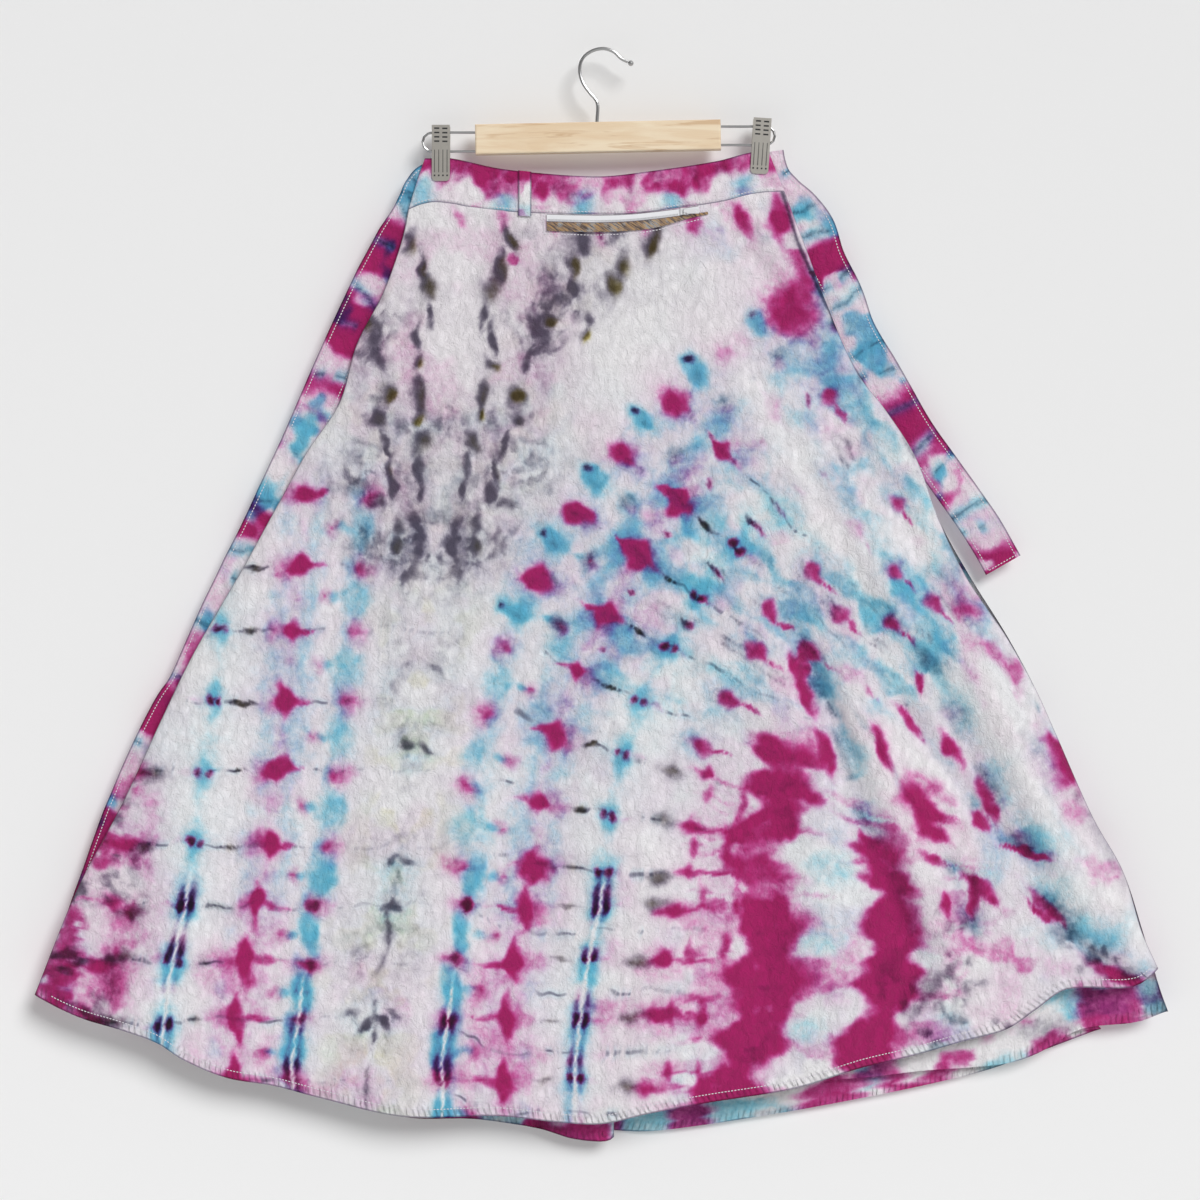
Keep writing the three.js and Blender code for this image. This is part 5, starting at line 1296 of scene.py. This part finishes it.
LEFT_PLEATS = [(14, 0.5, -1.6), (22, 0.3, -1.8), (30, -0.3, -1.6), (38, 0.4, -1.2), (52, 0.8, -0.9)] + [
    (k * 47.0 + 90 + 9 * math.sin(k * 2.1), 0.35 * math.sin(k * 1.7), 0.8 + 0.3
     * math.sin(k * 3.1)) for k in range(16)]
RIGHT_PLEATS = [(k * 38.0 + 30 + 8 * math.sin(k * 2.7), 0.3 * math.sin(k * 1.3), 0.9 + 0.35
                 * math.sin(k * 2.3))
                for k in range(12)]
left_tie, left_rows = tie_cloth("left_tie_cloth", "left_tie", LEFT_TIE, 0.8, 501, 0.95, LEFT_PLEATS)
right_tie, right_rows = tie_cloth("right_tie_cloth", "right_tie", RIGHT_TIE, 0.5, 601, 0.85, RIGHT_PLEATS)


def belt_loop():
    pts, cols = [], 9
    downs = np.linspace(0, 1, 24)
    for j, t in enumerate(downs):
        for i in range(cols):
            x = mix(LOOP_LEFT, LOOP_RIGHT, i / (cols - 1))
            top, low = float(upper_z(x)) + 0.4, float(lower_z(x)) - 4.5
            edge = abs(2 * i / (cols - 1) - 1)
            y = -LAYER - float(band_sag(x)) - 1.9 + 0.5 * edge ** 4
            y -= 0.7 * math.exp(-((t - 0.95) / 0.05) ** 2)
            pts.append((x, y - 0.3 * noise(x, t * 40, 7, 4), mix(top, low, t)))
    obj = mesh_object("belt_loop_cloth", pts, [f[::-1] for f in strip_faces(cols, len(downs))], cotton_band)
    p = np.array(pts)
    dye = Dye(p[:, 0], p[:, 2])
    dye.add("m", 0.7 * ease(-140, -125, p[:, 2]))
    dye.add("m", 0.35 * ease(0.45, 0.6, cloud(p[:, 0], p[:, 2], 14, 2)))
    dye.add("c", 0.35 * ease(-150, -160, p[:, 2]))
    rim = np.minimum(p[:, 0] - LOOP_LEFT, LOOP_RIGHT - p[:, 0])
    paint(obj, dye=dye.values(), edge=np.stack([rim + 90, rim, rim], 1))
    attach(obj, "root")
    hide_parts("belt_loop")
    return obj


loop = belt_loop()


# ------------------------------------------------------------------ stitches
STITCH_FACES = ((0, 1, 3), (0, 3, 2), (1, 4, 6, 3), (3, 6, 5, 2), (4, 7, 6), (6, 7, 5), (0, 2, 1),
                (1, 2, 5, 4), (4, 5, 7))
STITCH, STITCH_GAP, THREAD_HALF, THREAD_HIGH = 2.3, 1.0, 0.42, 0.28


def stitches(name, runs):
    """Short dashes of thread along runs of points; out is the way they stand off the cloth."""
    pts, faces = [], []
    for run, out in runs:
        run = np.asarray(run, float)
        s = lengths(run)
        at = 0.5
        while at + STITCH < s[-1]:
            a, b = (np.array([np.interp(q, s, run[:, i]) for i in range(3)]) for q in (at, at + STITCH))
            way = (b - a) / np.linalg.norm(b - a)
            side = np.cross(way, (0, 1, 0))
            side /= np.linalg.norm(side) + 1e-9
            n = len(pts)
            o = np.array((0, out, 0))
            m1, m2 = a + way * 0.35, b - way * 0.35
            low, wide_by, high = o * 0.05, side * THREAD_HALF, o * THREAD_HIGH
            pts += [a + low, m1 - wide_by + low, m1 + wide_by + low, m1 + high,
                    m2 - wide_by + low, m2 + wide_by + low, m2 + high, b + low]
            faces += [tuple(n + k for k in f) for f in STITCH_FACES]
            at += STITCH + STITCH_GAP
    obj = mesh_object(name, pts, faces, thread, smooth=False)
    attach(obj, "root")


def surface_reader(obj):
    """Depth of a cloth piece's front at any x and z, from its own points."""
    n = len(obj.data.vertices)
    co = np.empty(n * 3, np.float32)
    obj.data.vertices.foreach_get("co", co)
    co = co.reshape(n, 3) * 1000
    tree = KDTree(n)
    for i, (x, y, z) in enumerate(co):
        tree.insert((x, 0, z), i)
    tree.balance()

    def read(x, z):
        found = tree.find_n((x, 0, z), 4)
        w = [1 / (d + 0.2) for _, _, d in found]
        return sum(wi * co[i][1] for wi, (_, i, _) in zip(w, found)) / sum(w)
    return read


front_y = surface_reader(front)
HEM_STITCH_UP = 8.3
hem_run = [(x, front_y(x, z + HEM_STITCH_UP) - 0.25, z + HEM_STITCH_UP) for x,
           z in curve(FRONT_HEM, 16)[6:-6]]
band_run = [(x, -LAYER - float(band_sag(x)) - 1.15, float(lower_z(x)) + 2.2) for x in np.arange(-190,
                                                                                                176, 2.0)]
pocket = []
# down beside the zip and then along below it
pocket_run = [(0.36, d) for d in np.linspace(0.0005, 0.0215, 8)]
pocket_run += [(a, 0.0215 - 0.006 * ease(0.6, 0.8, a)) for a in np.linspace(0.36, 0.80, 60)]
for across, down in pocket_run:
    x, y, z = front_at(across, down)
    pocket.append((x, front_y(x, z) - 0.3, z))
runs = [(hem_run, -1), (band_run, -1), (pocket, -1)]
for rows in (left_rows, right_rows):
    for c in (2, 16):
        runs.append(([r[c] + (0, -0.3, 0) for r in rows], -1))
runs.append(([p + (0, -0.3, 0) for p in right_rows[-2][2:17]], -1))
stitches("stitches", runs)


# ------------------------------------------------------------------ CAD pieces that stay: finishes
def pine_wood():
    g = Graph("pine_wood")
    grain = g.noise(g.place(6, 60, 60), 1.6, 5, 0.6, 0.8)
    fine = g.noise(g.place(14, 300, 300), 2.0, 3, 0.6)
    streak = g.noise(g.place(9, 40, 130), 1.0, 4, 0.6, 1.2)
    base = g.mixed(g.step(grain, 0.3, 0.7), (0.93, 0.80, 0.60), (0.82, 0.63, 0.42))
    base = g.mixed(g.times(g.step(streak, 0.52, 0.66), 0.75), base, (0.62, 0.40, 0.22))
    base = g.mixed(g.times(fine, 0.28), base, (0.72, 0.50, 0.30))
    g.look(base, 0.5)
    g.put(g.shader.inputs["Normal"], g.bump(fine, 0.0004, 0.4))
    return g.mat


def bias_cloth():
    """Brown and grey cloth cut on the bias, so that its threads run aslant."""
    g = Graph("pocket_strip")
    at = g.xyz(g.place())
    slant = g.plus(g.times(at[0], 1.0), g.times(at[2], 1.4))
    streak = g.noise(g.vec(slant, 0.0, g.times(at[2], 0.3)), 420, 3, 0.6)
    patch = g.noise(g.place(), 62, 2, 0.5)
    base = g.mixed(g.step(patch, 0.44, 0.56), (0.24, 0.17, 0.13), (0.33, 0.34, 0.35))
    base = g.mixed(g.times(g.step(streak, 0.50, 0.56), 0.75), base, (0.50, 0.30, 0.12))
    base = g.mixed(g.times(g.step(streak, 0.48, 0.42), 0.85), base, (0.07, 0.05, 0.045))
    g.look(base, 0.9)
    g.put(g.shader.inputs["Normal"], g.bump(streak, 0.0006, 0.5))
    return g.mat


pocket_strip = bias_cloth()
FINISH = {
    "zip_tape_upper": ("zip_tape", plain("tape_white", (0.84, 0.84, 0.87), 0.8, speck=0.03, bump=0.0004)),
    "zip_tape_lower": ("pocket_cloth", pocket_strip),
    "zip_slider": ("zip_metal", plain("white_lacquer", (0.82, 0.82, 0.84), 0.35, 0.2)),
    "zip_pull": ("zip_metal", plain("white_lacquer_pull", (0.82, 0.82, 0.84), 0.35, 0.2)),
    "hook": ("steel_wire", plain("steel", (0.42, 0.42, 0.42), 0.28, 1.0)),
    "hanger_bar": ("pine", pine_wood()),
    "clip": ("nickel", plain("nickel", (0.60, 0.57, 0.52), 0.36, 0.85, speck=0.08)),
}
for name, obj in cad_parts.items():
    if name in ("waistband", "front_panel", "inner_wrap_panel", "outer_wrap_panel", "left_tie",
                "right_tie", "belt_loop"):
        continue
    key = name if name in FINISH else "clip" if name.endswith(("_front", "_back")) else "hook"
    obj.data.materials.clear()
    obj.data.materials.append(FINISH[key][1])


BOX_FACES = ((0, 1, 3, 2), (4, 6, 7, 5), (0, 4, 5, 1), (2, 3, 7, 6), (0, 2, 6, 4), (1, 5, 7, 3))


def boxes(name, places, material):
    """Small boxes: middle, half sizes, and the turn about the depth axis, in mm and radians."""
    pts, faces = [], []
    for (x, y, z), (hx, hy, hz), turn in places:
        n = len(pts)
        for dx in (-hx, hx):
            for dy in (-hy, hy):
                for dz in (-hz, hz):
                    pts.append((x + dx * math.cos(turn) - dz * math.sin(turn), y + dy,
                                z + dx * math.sin(turn) + dz * math.cos(turn)))
        faces += [tuple(n + k for k in f) for f in BOX_FACES]
    obj = mesh_object(name, pts, faces, material, smooth=False)
    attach(obj, "root")


shadow_steel = plain("shadow_steel", (0.035, 0.034, 0.035), 0.6)
groove_shade_steel = plain("groove_shade_steel", (0.16, 0.155, 0.145), 0.45, 0.6)
CLIP_HIGH = 56
marks, grooves = [], []
for name, x0, z0, lean in (("clip_left_front", -163.5, -75.5, 0.0), ("clip_right_front", 159.0, -68.5, -3.6)):
    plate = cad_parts[name]
    co = np.array([plate.matrix_world @ vert.co for vert in plate.data.vertices]) * 1000
    turn = math.radians(lean)
    down = (co[:, 0] - x0) * math.sin(turn) - (co[:, 2] - z0) * math.cos(turn)
    top_y, foot_y = co[down < 4, 1].min(), co[down > 51, 1].min()

    def on_plate(a, d, out=0.12):
        return (x0 + a * math.cos(turn) + d * math.sin(turn), mix(top_y, foot_y, d / CLIP_HIGH) - out,
                z0 + a * math.sin(turn) - d * math.cos(turn))
    # painted shade: near-black boxes set just inside the clip's slots, where they lie in shade
    for row in range(4):
        for side in (-1, 1):
            d = 3.4 + 4.3 * row + (0.2 if side > 0 else 0)
            marks.append((on_plate(4.05 * side, d, -0.75), (2.9, 0.1, 1.1), turn))
    for a in (-6.3, -2.1, 2.1, 6.3):
        # painted shade: a dark strip down each groove of the clip's front
        grooves.append((on_plate(a, 34), (0.42, 0.1, 13.5), turn))
        # a near-black dot below each groove, in the same shadow steel
        marks.append((on_plate(a, 50.5), (0.8, 0.12, 0.8), turn))
boxes("clip_shade_and_dots", marks, shadow_steel)
boxes("clip_groove_shade", grooves, groove_shade_steel)
teeth, zip_shade_marks = [], []
ON_TAPE = 1.75
TEETH, TAPE_MARKS = 94, 190
for across in mix(0.372, 0.712, np.arange(TEETH) / (TEETH - 1)):
    x, y, z = front_at(across, 0.0072)
    teeth.append(((x, y - ON_TAPE - 0.1, z), (0.5, 0.22, 0.9), 0.0))
# painted shade: thin dark boxes along the upper and lower edges of the zip's white band, for the shaded lines
# at the pocket opening
for across in mix(0.369, 0.768, np.arange(TAPE_MARKS) / (TAPE_MARKS - 1)):
    for share in (0.0013, 0.0089):
        x, y, z = front_at(across, share)
        x2, _, z2 = front_at(across + 0.0021, share)
        zip_shade_marks.append(((x, y - ON_TAPE + 0.1, z), (0.45, 0.12, 0.22), math.atan2(z2 - z, x2 - x)))
boxes("zip_teeth", teeth, plain("tooth_white", (0.62, 0.62, 0.64), 0.4, 0.3))
boxes("zip_edge_shade", zip_shade_marks, seam_shade)

# ------------------------------------------------------------------ wall, light and camera
g = Graph("wall_paint")
g.shader.inputs["Roughness"].default_value = 0.95
g.shader.inputs["Specular IOR Level"].default_value = 0.1
g.shader.inputs["Base Color"].default_value = (0.88, 0.88, 0.88, 1)
clear = g.tree.nodes.new("ShaderNodeBsdfTransparent")
blend = g.tree.nodes.new("ShaderNodeMixShader")
side = g.tree.nodes.new("ShaderNodeNewGeometry")
out = next(n for n in g.tree.nodes if n.type == "OUTPUT_MATERIAL")
g.put(blend.inputs[0], side.outputs["Backfacing"])
g.put(blend.inputs[1], g.shader.outputs[0])
g.put(blend.inputs[2], clear.outputs[0])
g.put(out.inputs["Surface"], blend.outputs[0])
WALL_Y, FLOOR_Z = 0.0236, -2.2   # in metres, like all of the stage


def sheet_of(name, corners, material):
    mesh = bpy.data.meshes.new(name)
    mesh.from_pydata(corners, [], [(0, 1, 2, 3)])
    mesh.materials.append(material)
    obj = bpy.data.objects.new(name, mesh)
    SCENE.collection.objects.link(obj)
    return obj


wall = sheet_of("wall", [(-5, WALL_Y, FLOOR_Z), (5, WALL_Y, FLOOR_Z), (5, WALL_Y, 3), (-5, WALL_Y, 3)], g.mat)
floor = sheet_of("floor", [(-5, -6, FLOOR_Z), (5, -6, FLOOR_Z), (5, WALL_Y, FLOOR_Z), (-5, WALL_Y, FLOOR_Z)],
                 plain("floor_paint", (0.8, 0.8, 0.8), 0.9, speck=0.01))
# the wall hides no light from the skirt's back, so that views from behind are lit too
wall.visible_shadow = False
wall.visible_diffuse = False

for name, energy, heading in (("window", 2.10, (-0.42, 0.74, -0.52)), ("room", 2.0, (0.36, -0.76, -0.54))):
    sun = bpy.data.lights.new(name, "SUN")
    sun.energy = energy
    sun.angle = math.radians(26)
    sun_at = bpy.data.objects.new(name, sun)
    SCENE.collection.objects.link(sun_at)
    sun_at.rotation_euler = Vector(heading).to_track_quat("-Z", "Y").to_euler()
world = bpy.data.worlds.new("soft")
world.use_nodes = True
sky = world.node_tree.nodes["Background"].inputs
sky[0].default_value = (1.0, 1.0, 1.0, 1)
sky[1].default_value = 0.275
SCENE.world = world
SCENE.view_settings.view_transform = "Standard"

lens = bpy.data.cameras.new("camera")
lens.lens = 90
camera = bpy.data.objects.new("camera", lens)
SCENE.collection.objects.link(camera)
camera.location = (-0.004, -3.01, -0.5515)
camera.rotation_euler = (math.pi / 2, 0, 0)
SCENE.camera = camera
